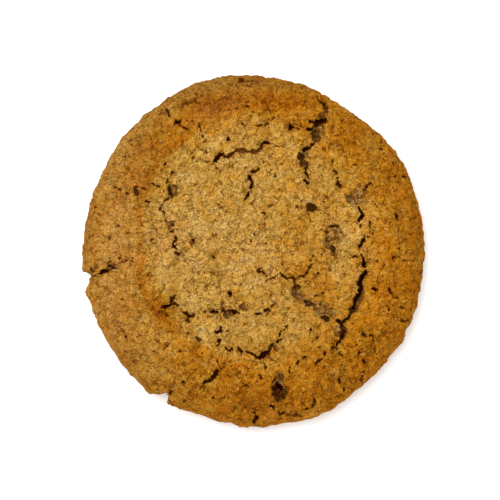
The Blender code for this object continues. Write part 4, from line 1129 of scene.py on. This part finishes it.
def makeSugar(tree):
    look = sugarGrains
    board = NodeBoard("sugar")
    board.feed(board.shader, {"Base Color": look["tone"], "Roughness": look["roughness"]})
    chance = random.Random(look["seed"])
    block = bmesh.new()
    for number in range(look["count"]):
        angle, share = chance.uniform(0, 360), math.sqrt(chance.random()) * look["reach"]
        reach, turned = reachAt(np.array([angle]))[0] * share, math.radians(angle)
        spot, normal = crustUnder(tree, reach * math.cos(turned), reach * math.sin(turned))
        size = chance.uniform(*look["size"]) * mm
        around = chance.uniform(0, math.tau)
        turn = Matrix.Rotation(around, 4, Vector([chance.uniform(-1, 1) for axis in range(3)]))
        longer = Matrix.Diagonal((1.0, chance.uniform(*look["wider"]), chance.uniform(*look["taller"]), 1.0))
        place = Matrix.Translation(spot + normal * size * (0.5 - look["sunk"]))
        made = bmesh.ops.create_cube(block, size=size, matrix=place @ turn @ longer)
        edges = {edge for vert in made["verts"] for edge in vert.link_edges}
        bmesh.ops.bevel(block, geom=list(edges), offset=size * look["bevel"], segments=1, affect='EDGES')
    finishPiece(block, "sugarGrains", board.material)


studio = {
    "floor": tone(251, 251, 250),
    "floorHalf": 1.5,
    "floorDrop": 0.05,  # mm below the cookie
    "floorRoughness": 0.9,
    "floorGlow": 0.16,  # keeps the soft shadow faint
    "world": 0.91,
    "keyPower": 15.3,
    "keyPlace": (-0.36, 0.42, 1.08),
    "keySize": 1.1,
    "cameraHeight": 4.00,
    "viewWidth": 130.0,  # mm across the picture at the cookie's widest line
    "viewCentre": (-0.91, 0.33),
    "clip": (0.01, 20.0),
}


def makeStudio():
    scene = bpy.context.scene
    grid = bmesh.new()
    bmesh.ops.create_grid(grid, x_segments=1, y_segments=1, size=studio["floorHalf"])
    mesh = bpy.data.meshes.new("tableTop")
    grid.to_mesh(mesh)
    grid.free()
    floor = addObject("tableTop", mesh)
    floor.location.z = -studio["floorDrop"] * mm
    board = NodeBoard("paleTable")
    board.feed(board.shader, {"Base Color": studio["floor"], "Roughness": studio["floorRoughness"],
                              "Emission Color": studio["floor"], "Emission Strength": studio["floorGlow"]})
    mesh.materials.append(board.material)

    scene.world = bpy.data.worlds.new("softRoom")
    scene.world.use_nodes = True
    background = scene.world.node_tree.nodes["Background"]
    background.inputs["Color"].default_value = (1.0, 1.0, 1.0, 1.0)
    background.inputs["Strength"].default_value = studio["world"]

    lamp = bpy.data.lights.new("keyLight", 'AREA')
    lamp.energy = studio["keyPower"]
    lamp.size = studio["keySize"]
    key = addObject("keyLight", lamp)
    key.location = studio["keyPlace"]
    key.rotation_euler = (-Vector(studio["keyPlace"])).to_track_quat('-Z', 'Y').to_euler()

    lens = bpy.data.cameras.new("topCamera")
    camera = addObject("topCamera", lens)
    bpy.context.scene.camera = camera
    centreX, centreY = studio["viewCentre"]
    camera.location = (centreX * mm, centreY * mm, studio["cameraHeight"])
    lens.lens = lens.sensor_width * (studio["cameraHeight"] - widestLine * mm) / (studio["viewWidth"] * mm)
    lens.clip_start, lens.clip_end = studio["clip"]
    scene.view_settings.view_transform = 'Standard'


cookie = makeCookie()
cookie.data.materials.append(crustMaterial())
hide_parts(cookieNode)
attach(cookie, "root")
print("cookie done")

cookieTree = BVHTree.FromPolygons([vert.co for vert in cookie.data.vertices],
                                  [polygon.vertices for polygon in cookie.data.polygons])
makeCrumbs(cookieTree)
makeSugar(cookieTree)
print("crumbs and sugar done")

makeStudio()
print("studio done")
